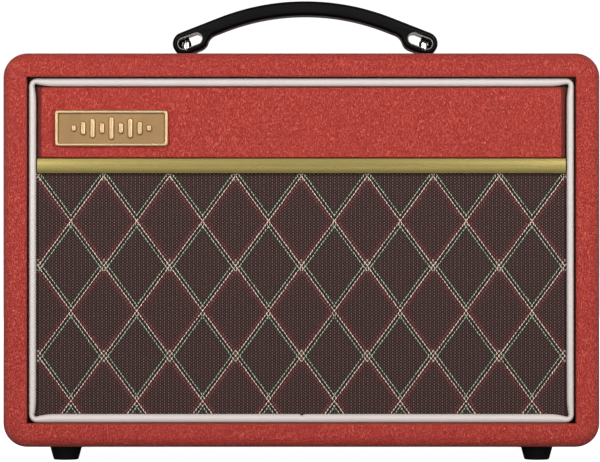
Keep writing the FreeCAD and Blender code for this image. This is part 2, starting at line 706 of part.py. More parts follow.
sockets = []
for x in jack_spots:
    box = block("box", (f"{x} - 8", f"{x} + 8"), ("slot_centre - 11", "slot_centre + 11"),
                ("plate_low - jack_deep + 2", "plate_low"))
    barrel = rod("barrel", 4.7, "fascia_top - plate_low + 3.4", x, "slot_centre", "plate_low")
    bore = rod("bore", "jack_radius", 40, x, "slot_centre", "plate_low - jack_deep + 4")
    sockets.append(cut("socket", fused("socket_solid", box, barrel), bore))
    washer = rod("washer", 6.8, 0.5, x, "slot_centre", "fascia_top")
    nut = hexagon("nut", 12, 2, x, "slot_centre", "nut_low")
    nuts.append(cut("jack_nut", fused("nut_stack", washer, nut), rod("bore", 4.7, 4, x, "slot_centre", "fascia_top - 1")))
kept(grouped("jack_sockets", sockets))
kept(grouped("panel_nuts", nuts))

for name, x in knob_spots.items():
    shaft = rod(f"shaft_{name}_rod", "shaft_radius", 21, x, "slot_centre", "pot_low + 2")
    flat = block("flat", (f"{x} - 4", f"{x} + 4"), ("slot_centre + 1.6", "slot_centre + 5"),
                 ("knob_low + 4.5", "knob_low + 20"))
    kept(cut(f"shaft_{name}", shaft, flat))
    skirt = turned(f"skirt_{name}", [(0, 0), (9.5, 0), (9.5, 1.2), (8.4, 2.8), (7.6, 3.2), (0, 3.2)], x, "slot_centre",
                   "knob_low")
    beak = padded(f"beak_{name}", [(-3.2, -7.4), (3.2, -7.4), (4.3, 0), (1, 9.2), (-1, 9.2), (-4.3, 0)], "knob_tall")
    rounded(beak, 1, lambda edge: lies_at(edge, 2, size("knob_tall")))
    place(beak, x, "slot_centre", "knob_low")
    socket = rod("recess", 6.6, 2.6, x, "slot_centre", "knob_low")
    kept(cut(f"knob_{name}", fused("knob_solid", skirt, beak), socket, doc.getObject(f"shaft_{name}")))

board_x = ("input_x + 16", "phones_x - 10")
board_blank = block("board_blank", board_x, ("chassis_front + 4", "chassis_rear - 4"), ("pcb_low", "pot_low"))
kept(board_blank)
board_blank.Label = "circuit_board"

switch_box = block("switch_box", ("channel_x - 6", "channel_x + 6"), ("slot_centre - 6", "slot_centre + 6"),
                   ("pot_low", "pot_low + 6"))
kept(cut("channel_switch_body", switch_box, rod("bore", "1.6 + running", 8, "channel_x", "slot_centre", "pot_low + 0.4")))
plunger = rod("plunger", 1.6, 7, "channel_x", "slot_centre", "pot_low + 3.6")
cap = turned("cap", [(0, 0), (4, 0), (4, 5.4), (3.4, 6), (0, 6)], "channel_x", "slot_centre", "pot_low + 9.6")
kept(fused("channel_button", plunger, cap))

power_y = ("slot_centre - 9.4", "slot_centre + 9.4")
case = block("case", ("power_x - 6.4", "power_x + 6.4"), power_y, ("plate_low - 14", "fascia_top"))
bezel = block("bezel", ("power_x - 7.6", "power_x + 7.6"), ("slot_centre - 10.8", "slot_centre + 10.8"),
              ("fascia_top", "fascia_top + 1.6"))
well = block("well", ("power_x - 4.8", "power_x + 4.8"), ("slot_centre - 8.6", "slot_centre + 8.6"),
             ("plate_low - 7", "fascia_top + 3"))
tabs = [block("tab", ("power_x - 2.4", "power_x + 2.4"), (f"slot_centre + {y} - 0.4", f"slot_centre + {y} + 0.4"),
              ("plate_low - 22", "plate_low - 14")) for y in (-5, 5)]
kept(fused("power_switch_body", cut("case_open", fused("case_solid", case, bezel), well), *tabs))
rocker = padded("power_rocker", [(-7.6, 3.6), (0, 2.4), (7.6, 3.6), (7.6, -1.2), (3, -6), (-3, -6), (-7.6, -1.2)],
                9, "YZ_Plane", middle=True)
rounded(rocker, 0.5, lambda edge: edge.BoundBox.ZMin > 2)
rocker.Placement = FreeCAD.Placement(vec(), FreeCAD.Rotation(vec(1, 0, 0), size("rocker_tilt")))
for name, formula in (("x", "power_x"), ("y", "slot_centre"), ("z", "fascia_top + 0.6")):
    rocker.setExpression(f"Placement.Base.{name}", bound(formula))
kept(rocker)

kept(turned("pilot_lamp", [(0, -9), (2.9, -9), (2.9, 0), (4, 0), (4, 0.9), (2.9, 1.1), (2.5, 2.6), (1.4, 3.5), (0, 3.7)],
            "lamp_x", "slot_centre", "fascia_top"))

cans = []
for x, y, radius, tall in ((-30, 34, 8, 22), (-8, 34, 8, 22), (24, 58, 5, 16), (42, 58, 5, 16), (42, 34, 6.3, 18)):
    cans.append(rod("can", radius, tall, x, y, f"pcb_low - {tall}"))
kept(grouped("capacitors", cans))

sink_x = (-104, -66)
base = block("sink_base", sink_x, (60, 63), ("pcb_low - 24", "pcb_low"))
fins = [block("fin", (sink_x[0] + 6 * i + 1, sink_x[0] + 6 * i + 2.6), (40, 60), ("pcb_low - 24", "pcb_low - 2"))
        for i in range(6)]
kept(fused("heatsink", base, *fins))

core = block("core", ("core_x - 24", "core_x + 24"), ("chassis_front - 40.8", "chassis_front - 0.8"), (212, 236))
strap_out = block("clamp_out", ("core_x - 25.2", "core_x + 25.2"), ("chassis_front - 42", "chassis_front - 0.8"),
                  (216, 232))
ears = block("ears", ("core_x - 31", "core_x + 31"), ("chassis_front - 2", "chassis_front - 0"), (216, 232))
windows = [block("window", (f"core_x + {s} * 12 - 4.2", f"core_x + {s} * 12 + 4.2"),
                 ("chassis_front - 33", "chassis_front - 9"), (205, 243)) for s in (-1, 1)]
kept(cut("transformer_core", fused("core_solid", core, strap_out, ears), *windows))
coil_out = block("coil_out", ("core_x - 16", "core_x + 16"), ("chassis_front - 32.8", "chassis_front - 9.2"),
                 (206.5, 241.5))
centre_leg = block("centre_leg", ("core_x - 7.8", "core_x + 7.8"), ("chassis_front - 34", "chassis_front - 8"),
                   (212, 236))
kept(cut("transformer_coil", coil_out, centre_leg))

inlet_flange = block("inlet_flange", ("inlet_x - 24", "inlet_x + 24"), ("chassis_rear", "chassis_rear + 2.5"),
                     ("inlet_z - 11.5", "inlet_z + 11.5"))
inlet_case = block("inlet_case", ("inlet_x - 13.5", "inlet_x + 13.5"), ("chassis_rear - 18", "chassis_rear"),
                   ("inlet_z - 10", "inlet_z + 10"))
cavity = block("cavity", ("inlet_x - 12.1", "inlet_x + 12.1"), ("chassis_rear - 15.5", "chassis_rear + 5"),
               ("inlet_z - 8.4", "inlet_z + 8.4"))
blades = [block("blade", (f"inlet_x + {dx} - 1", f"inlet_x + {dx} + 1"), ("chassis_rear - 26", "chassis_rear - 4"),
                (f"inlet_z + {dz} - 2", f"inlet_z + {dz} + 2")) for dx, dz in ((-7, -2), (0, 2), (7, -2))]
kept(fused("mains_inlet", cut("inlet_open", fused("inlet_solid", inlet_flange, inlet_case), cavity), *blades))

# ---- handle --------------------------------------------------------------------------------------------------------

theta = math.radians(size("arch_angle"))
arch, thick, wide = size("arch_radius"), size("strap_thick"), size("handle_wide")
middle_x, middle_y = size("handle_x"), size("handle_y")
arch_z = size("handle_top") - arch


def arch_point(radius, angle, sign):
    return vec(middle_x + sign * radius * math.sin(angle), middle_y - wide / 2, arch_z + radius * math.cos(angle))


def arch_face(outer, inner):
    """The curved middle of the strap, between two radii."""
    top = Part.Arc(arch_point(outer, theta, -1), arch_point(outer, 0, 1), arch_point(outer, theta, 1)).toShape()
    low = Part.Arc(arch_point(inner, theta, 1), arch_point(inner, 0, 1), arch_point(inner, theta, -1)).toShape()
    ends = [Part.makeLine(arch_point(a, theta, s), arch_point(b, theta, s))
            for a, b, s in ((outer, inner, 1), (inner, outer, -1))]
    return Part.Face(Part.Wire([top, ends[0], low, ends[1]]))


def down_arm(sign, along, depth):
    """A point along one end of the strap, measured from the arch and down from the top surface."""
    direction = vec(sign * math.cos(theta), 0, -math.sin(theta))
    inward = vec(-sign * math.sin(theta), 0, -math.cos(theta))
    return arch_point(arch, theta, sign) + direction * along + inward * depth


def slab(corners):
    return Part.Face(Part.makePolygon(corners + corners[:1]))


def eye(sign, radius):
    """The outline of an end loop, or of the slot in it."""
    outer, inner = size("arm"), size("arm") - size("eye_length")
    centre = size("loop_radius")
    band = slab([down_arm(sign, inner, centre - radius), down_arm(sign, outer, centre - radius),
                 down_arm(sign, outer, centre + radius), down_arm(sign, inner, centre + radius)])
    discs = [Part.Face(Part.Wire([Part.makeCircle(radius, down_arm(sign, s, centre), vec(0, 1, 0))]))
             for s in (outer, inner)]
    depth = vec(0, wide, 0)
    solid = band.extrude(depth).fuse([disc.extrude(depth) for disc in discs])
    return solid.removeSplitter()


strap = arch_face(arch, arch - thick).extrude(vec(0, wide, 0))
for sign in (-1, 1):
    run = slab([down_arm(sign, 0, 0), down_arm(sign, size("arm"), 0), down_arm(sign, size("arm"), thick),
                down_arm(sign, 0, thick)])
    strap = strap.fuse([run.extrude(vec(0, wide, 0)), eye(sign, size("loop_radius"))])
strap = strap.removeSplitter()
crease = [edge for edge in strap.Edges if runs_along(edge, 1) and abs(edge.BoundBox.Center.x - middle_x) < 69
          and abs(edge.BoundBox.Center.x - middle_x) > 58 and edge.BoundBox.Center.z < 280]
strap = strap.makeFillet(8, crease)
rims = [edge for edge in strap.Edges if lies_at(edge, 1, middle_y - wide / 2) or lies_at(edge, 1, middle_y + wide / 2)]
strap = strap.makeFillet(2.4, rims)
strap_form = shaped("strap_form", strap)


def web(sign):
    """A wall of rubber left standing behind the post, across the outer end of the slot."""
    near, far, half = size("arm") - 4.6, size("arm") + 5, size("eye_radius") + 1
    centre = size("loop_radius")
    face = slab([down_arm(sign, near, centre - half), down_arm(sign, far, centre - half),
                 down_arm(sign, far, centre + half), down_arm(sign, near, centre + half)])
    face.translate(vec(0, wide / 2 + 4.7, 0))
    return face.extrude(vec(0, 3.3, 0))


eyes = shaped("eyes", Part.makeCompound([eye(sign, size("eye_radius")).cut(web(sign)) for sign in (-1, 1)]))
liners = shaped("liners", Part.makeCompound([
    eye(sign, size("eye_radius") + 0.5).cut([eye(sign, size("eye_radius")), web(sign)]) for sign in (-1, 1)]))
spring_face = arch_face(arch - thick / 2 + 0.4, arch - thick / 2 - 0.4)
spring = spring_face.extrude(vec(0, wide - 10, 0))
spring.translate(vec(0, 5, 0))
spring_strip = shaped("spring_strip", spring)
head_room = grouped("head_room", [rod("counterbore", "post_radius + 0.7", 9, x, "handle_y", "post_base - 0.05")
                                  for x in post_spots])
shank_room = post_hole("shank_room", "post_shank + 0.5", "cab_top", "post_base")
kept(cut("handle_core", grouped("core_steel", [spring_strip, liners]), head_room, shank_room))
kept(cut("handle_strap", strap_form, eyes, liners, spring_strip, head_room, shank_room))

posts, ferrules, fixings = [], [], []
for x in post_spots:
    posts.append(turned("post", [
        (0, -27), ("post_shank", -27), ("post_shank", 0.4), ("post_radius", 0.4), ("post_radius", "post_tall - 2.4"),
        ("post_radius * 0.86", "post_tall - 1"), ("post_radius * 0.5", "post_tall - 0.2"), (0, "post_tall")],
        x, "handle_y", "post_base"))
    ferrules.append(turned("ferrule", [("post_shank", 0), (5.6, 0), (5.3, 0.6), (3.8, 0.9), (3.4, 1.2),
                                       ("post_shank", 1.2)], x, "handle_y", "cab_top"))
    washer = rod("washer", 6, 1, x, "handle_y", "ceiling - 1")
    nut = hexagon("nut", 7, 3.4, x, "handle_y", "ceiling - 4.4")
    fixings.append(cut("fixing", fused("fixing_solid", washer, nut),
                       rod("bore", "post_shank", 8, x, "handle_y", "ceiling - 6")))
kept(grouped("handle_posts", posts))
kept(grouped("handle_ferrules", ferrules))
kept(grouped("handle_nuts", fixings))

# ---- check and write -------------------------------------------------------------------------------------------------

doc.recompute()
os.makedirs("parts", exist_ok=True)
for thing in doc.Objects:
    if {"Invalid", "Error"} & set(thing.State):
        raise RuntimeError(f"{thing.Label} is {thing.State}")
for piece in sub_parts:
    shape = piece.Shape
    if shape.isNull() or not shape.Solids or not shape.isValid():
        raise RuntimeError(f"{piece.Label} has no valid solid")
    shape.exportStep(f"parts/{piece.Label}.step")
print(f"{len(sub_parts)} parts written")
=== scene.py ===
import math

import bmesh
import bpy
import numpy as np
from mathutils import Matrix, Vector, geometry


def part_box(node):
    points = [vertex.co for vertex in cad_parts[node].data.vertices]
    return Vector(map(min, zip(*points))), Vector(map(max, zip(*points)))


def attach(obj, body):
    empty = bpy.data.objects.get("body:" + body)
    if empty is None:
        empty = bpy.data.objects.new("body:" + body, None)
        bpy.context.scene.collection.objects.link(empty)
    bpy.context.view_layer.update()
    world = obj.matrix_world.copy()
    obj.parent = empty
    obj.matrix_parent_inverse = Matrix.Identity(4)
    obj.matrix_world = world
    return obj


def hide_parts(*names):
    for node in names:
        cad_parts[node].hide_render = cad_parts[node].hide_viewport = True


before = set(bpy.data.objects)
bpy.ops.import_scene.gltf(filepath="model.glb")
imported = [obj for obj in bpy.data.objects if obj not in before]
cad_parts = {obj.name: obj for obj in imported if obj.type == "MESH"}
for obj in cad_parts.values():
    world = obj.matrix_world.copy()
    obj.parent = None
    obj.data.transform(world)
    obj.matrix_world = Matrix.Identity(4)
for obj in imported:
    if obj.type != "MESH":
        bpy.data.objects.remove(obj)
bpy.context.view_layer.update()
RNG = np.random.default_rng(7)
MM = 0.001


# ---- mesh helpers: points in metres, in the frame's axes ----

def linked(name, data):
    """A new object with this data, in the scene."""
    obj = bpy.data.objects.new(name, data)
    bpy.context.scene.collection.objects.link(obj)
    return obj


def plain(name, points, faces):
    """A mesh object with nothing on it yet."""
    mesh = bpy.data.meshes.new(name)
    mesh.from_pydata([tuple(map(float, p)) for p in points], [], [tuple(map(int, f)) for f in faces])
    mesh.update()
    mesh.validate()
    return linked(name, mesh)


def piece(name, points, faces, body, look, slot, replaces=(), smooth=True, sharp=None):
    """A mesh object with a material, riding on a body. Edges over the sharp angle, in degrees, stay crisp."""
    obj = plain(name, points, faces)
    mesh = obj.data
    mesh.materials.append(look)
    mesh.polygons.foreach_set("use_smooth", [smooth] * len(mesh.polygons))
    if sharp is not None:
        mesh.set_sharp_from_angle(angle=math.radians(sharp))
    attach(obj, body)
    if replaces:
        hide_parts(*replaces)
    return obj


class Build:
    """Points and faces gathered from several shapes into one mesh. A mark is the number of a face's material."""

    def __init__(self):
        self.points, self.faces, self.marks = [], [], []

    def add(self, points, faces, mark=0):
        start = len(self.points)
        self.points += [tuple(p) for p in points]
        self.faces += [tuple(i + start for i in f) for f in faces]
        self.marks += [mark] * len(faces)
        return self

    def turn(self, profile, spots, **options):
        """The same turned shape at each spot."""
        for spot in spots:
            self.add(*lathe(profile, spot, **options))
        return self

    def piece(self, name, body, look, slot, **options):
        looks = look if isinstance(look, list) else [look]
        obj = piece(name, self.points, self.faces, body, looks[0], slot, **options)
        for extra in looks[1:]:
            obj.data.materials.append(extra)
        if len(looks) > 1:
            obj.data.polygons.foreach_set("material_index", self.marks)
        return obj


def grid_faces(rows, columns, close_rows=False, close_columns=False):
    """Quads over a rows by columns block of points, optionally joined end to start either way."""
    faces = []
    for r in range(rows if close_rows else rows - 1):
        for c in range(columns if close_columns else columns - 1):
            a, b = r * columns + c, r * columns + (c + 1) % columns
            below = ((r + 1) % rows) * columns
            faces.append((a, b, below + (c + 1) % columns, below + c))
    return faces


def lathe(profile, centre, base=0.0, axis="Z", segments=56, cap=True):
    """A turned shape. The profile is radii and heights in mm, the heights along the axis from the base."""
    points = []
    for radius, height in profile:
        for a in np.linspace(0, 2 * math.pi, segments, endpoint=False):
            u, v, along = radius * MM * math.cos(a), radius * MM * math.sin(a), base + height * MM
            points.append(np.add(centre, (u, v, along) if axis == "Z" else (v, along, u)))
    faces = grid_faces(len(profile), segments, close_columns=True)
    if cap:
        faces.append(tuple(reversed(range(segments))))
        faces.append(tuple((len(profile) - 1) * segments + i for i in range(segments)))
    return points, faces


def arc(centre, radius, start, end, steps):
    """Points on an arc in a plane, angles in degrees."""
    return [(centre[0] + radius * math.cos(math.radians(a)), centre[1] + radius * math.sin(math.radians(a)))
            for a in np.linspace(start, end, steps + 1)]


def circle(x, y, radius, steps=32):
    return [(x + radius * math.cos(a), y + radius * math.sin(a))
            for a in np.linspace(0, 2 * math.pi, steps, endpoint=False)]


CORNERS = ((1, -1, -90), (1, 1, 0), (-1, 1, 90), (-1, -1, 180))


def rounded_rect(half_w, half_h, radius, steps=6, centre=(0, 0)):
    """A closed outline, counter-clockwise from the lower right."""
    radius = min(radius, half_w, half_h)
    out = []
    for sx, sy, start in CORNERS:
        middle = (centre[0] + sx * (half_w - radius), centre[1] + sy * (half_h - radius))
        out += arc(middle, radius, start, start + 90, steps)
    return out


def nested(half_w, half_h, radius, steps=6, centre=(0, 0)):
    """A rounded rectangle that can be asked for at any distance inwards."""
    return lambda inset: rounded_rect(half_w - inset, half_h - inset, max(radius - inset, 0.05 * MM), steps, centre)


def middle_and_half(lo, hi, across=0, up=2):
    """A box's middle and half sizes in one plane."""
    return (((lo[across] + hi[across]) / 2, (lo[up] + hi[up]) / 2),
            (hi[across] - lo[across]) / 2, (hi[up] - lo[up]) / 2)


def offset_loop(loop, distance):
    """The outline moved inwards, for a counter-clockwise loop; outwards if it runs clockwise."""
    pts = np.array(loop)
    normals = 0
    for edge in (pts - np.roll(pts, 1, 0), np.roll(pts, -1, 0) - pts):
        normals = normals + np.stack([-edge[:, 1], edge[:, 0]], 1) / np.maximum(
            np.linalg.norm(edge, axis=1), 1e-9)[:, None]
    length = np.maximum(np.linalg.norm(normals, axis=1), 1e-6)
    return pts + normals * (distance * 2 / np.maximum(length ** 2, 1.2))[:, None]


# How a point of a flat outline and a depth become a point in space, and which two coordinates the outline uses.
PLANES = {"XZ": (lambda p, depth: (p[0], depth, p[1]), (0, 2)),
          "XY": (lambda p, depth: (p[0], p[1], depth), (0, 1))}


def plate(build, plane, outer, holes, low, high, ease_low=0.0, ease_high=0.0, hole_ease=0.0, steps=1, mark=0):
    """A flat plate between two depths along the plane's normal, with its outer edges rounded and holes through it."""
    lift, kept = PLANES[plane]

    def inward(loop, distance):
        return np.array(loop(distance)) if callable(loop) else offset_loop(loop, distance)

    def rings(loop, ease_a, ease_b):
        turns = np.linspace(0, math.pi / 2, steps + 1)
        out = [(inward(loop, ease_a * (1 - math.sin(t))), low + ease_a * (1 - math.cos(t))) for t in turns] \
            if ease_a > 0 else [(inward(loop, 0), low)]
        out += [(inward(loop, ease_b * (1 - math.cos(t))), high - ease_b * (1 - math.sin(t))) for t in turns] \
            if ease_b > 0 else [(inward(loop, 0), high)]
        return out

    ends = [], []
    points, faces = [], []
    for loop, ease_a, ease_b in [(outer, ease_low, ease_high)] + [(h, hole_ease, hole_ease) for h in holes]:
        stack = rings(loop, ease_a, ease_b)
        start, count = len(points), len(stack[0][0])
        for ring, depth in stack:
            points += [lift(p, depth) for p in ring]
        faces += [tuple(start + i for i in f) for f in grid_faces(len(stack), count, close_columns=True)]
        for end, first in zip(ends, (start, start + (len(stack) - 1) * count)):
            end.append(list(range(first, first + count)))
    for loops in ends:
        faces += fill(points, loops, kept)
    return build.add(points, faces, mark)


def fill(points, loops, kept):
    """Triangles over the area inside the first loop and outside the others."""
    flat = [i for loop in loops for i in loop]
    outline = [[Vector((points[i][kept[0]], points[i][kept[1]], 0)) for i in loop] for loop in loops]
    return [tuple(flat[i] for i in tri) for tri in geometry.tessellate_polygon(outline)]


def outwards(obj):
    """Turns every face of a closed piece outwards."""
    bm = bmesh.new()
    bm.from_mesh(obj.data)
    bmesh.ops.remove_doubles(bm, verts=bm.verts, dist=1e-7)
    bmesh.ops.recalc_face_normals(bm, faces=bm.faces)
    bm.to_mesh(obj.data)
    bm.free()
    return obj


def smooth_by_angle(obj, degrees):
    obj.data.polygons.foreach_set("use_smooth", [True] * len(obj.data.polygons))
    obj.data.set_sharp_from_angle(angle=math.radians(degrees))
    return obj


# ---- material helpers ----

def srgb(r, g, b):
    """Display values 0 to 255 as a linear colour."""
    return tuple((c / 255 / 12.92) if c <= 10 else ((c / 255 + 0.055) / 1.055) ** 2.4 for c in (r, g, b)) + (1.0,)


def shade(colour, share):
    """A linear colour made darker."""
    return tuple(c * share for c in colour[:3]) + (1,)


class Shader:
    """A procedural material, built node by node. A plain number goes on the shader's own socket."""

    def __init__(self, name, **sockets):
        self.material = bpy.data.materials.new(name)
        self.material.use_nodes = True
        self.tree = self.material.node_tree
        self.bsdf = self.tree.nodes["Principled BSDF"]
        self.place = self.node("ShaderNodeTexCoord").outputs["Object"]
        for socket, value in sockets.items():
            self.set(socket.replace("_", " "), value)

    def feed(self, target, value):
        if isinstance(value, bpy.types.NodeSocket):
            self.tree.links.new(value, target)
        else:
            target.default_value = value

    def set(self, socket, value):
        self.feed(self.bsdf.inputs[socket], value)

    def node(self, kind, inputs=(), **settings):
        n = self.tree.nodes.new(kind)
        for key, value in settings.items():
            setattr(n, key, value)
        for key, value in dict(inputs).items():
            if value is not None:
                self.feed(n.inputs[key], value)
        return n

    def stretched(self, scale, where=None):
        return self.node("ShaderNodeMapping", {"Vector": where or self.place, "Scale": scale}).outputs["Vector"]

    def noise(self, scale, detail=2.0, rough=0.5, where=None, out="Fac", distortion=0.0):
        return self.node("ShaderNodeTexNoise", {"Vector": where or self.place, "Scale": scale, "Detail": detail,
                                                "Roughness": rough, "Distortion": distortion}).outputs[out]

    def voronoi(self, scale, feature="F1", where=None):
        return self.node("ShaderNodeTexVoronoi", {"Vector": where or self.place, "Scale": scale},
                         feature=feature).outputs["Distance"]

    def ramp(self, fac, *stops):
        n = self.node("ShaderNodeValToRGB", {"Fac": fac})
        elements = n.color_ramp.elements
        elements.remove(elements[-1])
        for i, (at, value) in enumerate(stops):
            element = elements[0] if i == 0 else elements.new(at)
            element.position = at
            element.color = (value, value, value, 1)
        return n.outputs["Color"]

    def mix(self, fac, a, b, blend="MIX"):
        return self.node("ShaderNodeMix", {0: fac, 6: a, 7: b}, data_type="RGBA", blend_type=blend,
                         clamp_result=False).outputs[2]

    def math(self, kind, a, b=None, c=None, clamp=False):
        return self.node("ShaderNodeMath", {0: a, 1: b, 2: c}, operation=kind, use_clamp=clamp).outputs[0]

    def plus(self, a, b):
        return self.math("ADD", a, b)

    def minus(self, a, b, clamp=False):
        return self.math("SUBTRACT", a, b, clamp=clamp)

    def times(self, a, b, clamp=False):
        return self.math("MULTIPLY", a, b, clamp=clamp)

    def over(self, a, b, clamp=False):
        return self.math("DIVIDE", a, b, clamp=clamp)

    def size(self, a):
        return self.math("ABSOLUTE", a)

    def vmath(self, kind, a, b=None, scale=None):
        return self.node("ShaderNodeVectorMath", {0: a, 1: b, "Scale": scale}, operation=kind).outputs[0]

    def xyz(self):
        return self.node("ShaderNodeSeparateXYZ", {"Vector": self.place}).outputs

    def band(self, value, centre, half, soft):
        """1 where the value is within half of the centre, falling to 0 over soft."""
        away = self.size(self.minus(value, centre))
        return self.minus(1.0, self.over(self.minus(away, half), soft, clamp=True), clamp=True)

    def bump(self, height, strength, distance):
        n = self.node("ShaderNodeBump", {"Height": height, "Strength": strength, "Distance": distance})
        self.set("Normal", n.outputs["Normal"])
        return self.material


def speckled(name, base, other=None, rough=0.5, scale=400, bump=0.15, distance=0.0002, amount=0.5, rough_spread=0.12,
             **sockets):
    """A moulded, painted or plated finish: two close colours, uneven gloss and a fine grain."""
    s = Shader(name, Roughness=rough, **sockets)
    base = srgb(*base)
    other = srgb(*other) if other else shade(base, 0.8)
    s.set("Base Color", s.mix(s.times(s.noise(scale * 0.05, 3, 0.6), amount), base, other))
    s.set("Roughness", s.math("MULTIPLY_ADD", s.noise(scale * 0.2, 3), rough_spread, rough - rough_spread / 2))
    return s.bump(s.noise(scale, 4, 0.6), bump, distance)


def metal(name, base, rough, grain=(1, 1, 1), scale=300, bump=0.08, dull=0.15):
    """Bare or plated metal, with a drawn or turned grain along the axis that is least stretched."""
    s = Shader(name, Metallic=1.0)
    base = srgb(*base)
    lines = s.noise(scale, 3, 0.6, s.stretched(grain))
    s.set("Base Color", s.mix(s.times(s.noise(18, 3, 0.6), 0.5), base, shade(base, 1 - dull)))
    s.set("Roughness", s.math("MULTIPLY_ADD", lines, rough * 0.6, rough * 0.7))
    return s.bump(lines, bump, 0.00005)


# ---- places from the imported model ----

COVER_LO, COVER_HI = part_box("vinyl_covering")
X1 = COVER_HI[0]
Y0, Y1 = COVER_LO[1], COVER_HI[1]
Z0, Z1 = COVER_LO[2], COVER_HI[2]
MID_Z = (Z0 + Z1) / 2
WALL = 15.3 * MM
CORNER = 15.3 * MM
CLOTH_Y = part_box("grille_cloth")[0][1]
PANEL_LO, PANEL_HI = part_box("front_panel_vinyl")
STRIP_LO, STRIP_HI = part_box("trim_strip")
CONTROLS_Y = 47 * MM
CONTROLS_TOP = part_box("control_panel")[1][2]


# ---- materials ----

def leatherette(name, seams=False, folded=0.0):
    """Red vinyl with a wrinkled grain, with painted shade in its creases and painted glints on its streaks. It can
    have a mitred seam at each front corner, with a painted highlight beside it. It can also be darkened all over with
    painted shade, for the vinyl where it turns over the panel's ends.
    """
    s = Shader(name, Specular_IOR_Level=0.5)
    x, y, z = s.xyz()
    warp = s.vmath("SCALE", s.vmath("SUBTRACT", s.noise(170, 3, 0.65, out="Color"), (0.5, 0.5, 0.5)), scale=0.003)
    where = s.vmath("ADD", s.place, warp)
    upright = (1, 1, 0.42)
    # Long wrinkles run up the cabinet, short pebbles lie between them.
    wrinkle = s.size(s.minus(s.noise(880, 3, 0.6, s.stretched(upright, where)), 0.5))
    crease = s.ramp(wrinkle, (0.0, 0.0), (0.05, 0.75), (0.13, 1.0))
    pebble = s.ramp(s.voronoi(1200, "DISTANCE_TO_EDGE", where), (0.0, 0.0), (0.16, 0.8), (0.4, 1.0))
    # Short upright streaks: raised in the bump, and lightened in the colour as painted glints.
    streak_and_glint = s.ramp(s.noise(1400, 2, 0.55, s.stretched(upright, where)), (0.50, 0.0), (0.60, 1.0))
    patch = s.ramp(s.noise(60, 3, 0.5), (0.36, 0.0), (0.66, 1.0))
    height = s.plus(s.plus(s.times(crease, 0.7), s.times(pebble, 0.5)), s.times(streak_and_glint, 0.5))
    red = s.mix(s.noise(11, 4, 0.6), srgb(162, 33, 22), srgb(174, 41, 28))
    red = s.mix(s.times(patch, 0.45), red, srgb(180, 40, 17))
    valley = s.minus(1.0, s.times(crease, pebble))
    # Painted shade: the colour darkens towards a deep red in the grain's creases and along the pebbles' edges.
    red = s.mix(s.times(valley, 0.52), red, srgb(116, 12, 8))
    # Painted glints: the streaks lightened towards a pale pink.
    red = s.mix(s.times(streak_and_glint, 0.46), red, srgb(214, 98, 82))
    if seams:
        across = s.minus(X1, s.size(x))
        down = s.minus((Z1 - Z0) / 2, s.size(s.minus(z, MID_Z)))
        front = s.math("LESS_THAN", y, Y0 + 12 * MM)
        corner = s.times(front, s.math("LESS_THAN", s.math("MAXIMUM", across, down), WALL + 1 * MM))
        offset = s.minus(across, down)
        line = s.times(s.band(offset, 0.0, 0.00012, 0.0005), corner)
        # Painted highlight: a pale line just beside each mitre seam, lightened in the colour below.
        shine = s.times(s.band(offset, 0.0009, 0.00012, 0.0006), corner)
        height = s.minus(height, s.times(line, 0.4))
        red = s.mix(s.times(line, 0.08), red, srgb(92, 14, 10))
        red = s.mix(s.times(shine, 0.18), red, srgb(206, 112, 100))
    # Painted shade: with folded above 0, the whole colour is mixed towards a dark red.
    if folded:
        red = s.mix(folded, red, srgb(70, 6, 5))
    s.set("Base Color", red)
    s.set("Roughness", s.math("MULTIPLY_ADD", valley, 0.18, 0.32))
    return s.bump(height, 1.0, 0.00036)


# The diamond lattice: its spacing across and up, and the height of one row of crossings. Cords run up the cloth.
LATTICE_X, LATTICE_Z, LATTICE_Z0 = 42.03 * MM, 57.42 * MM, 66.96 * MM
LATTICE_GAP = LATTICE_X * LATTICE_Z / math.hypot(LATTICE_X, LATTICE_Z)
CORD_Z = 1.81 * MM
CORD_X = CORD_Z * LATTICE_X / LATTICE_Z


def cloth_pattern(s):
    """A point's x and z, how far it is from the nearest lattice line, and whether its cell is a green one."""
    x, _, z = s.xyz()
    u = s.over(x, LATTICE_X)
    v = s.over(s.minus(z, LATTICE_Z0), LATTICE_Z)
    up, down = s.plus(u, v), s.minus(u, v)

    def reach(value):
        return s.times(s.size(s.minus(value, s.math("ROUND", value))), LATTICE_GAP)

    near = s.math("MINIMUM", reach(up), reach(down))
    parity = s.math("FRACT", s.times(s.plus(s.math("FLOOR", up), s.math("FLOOR", down)), 0.5))
    return x, z, near, s.math("LESS_THAN", parity, 0.25)


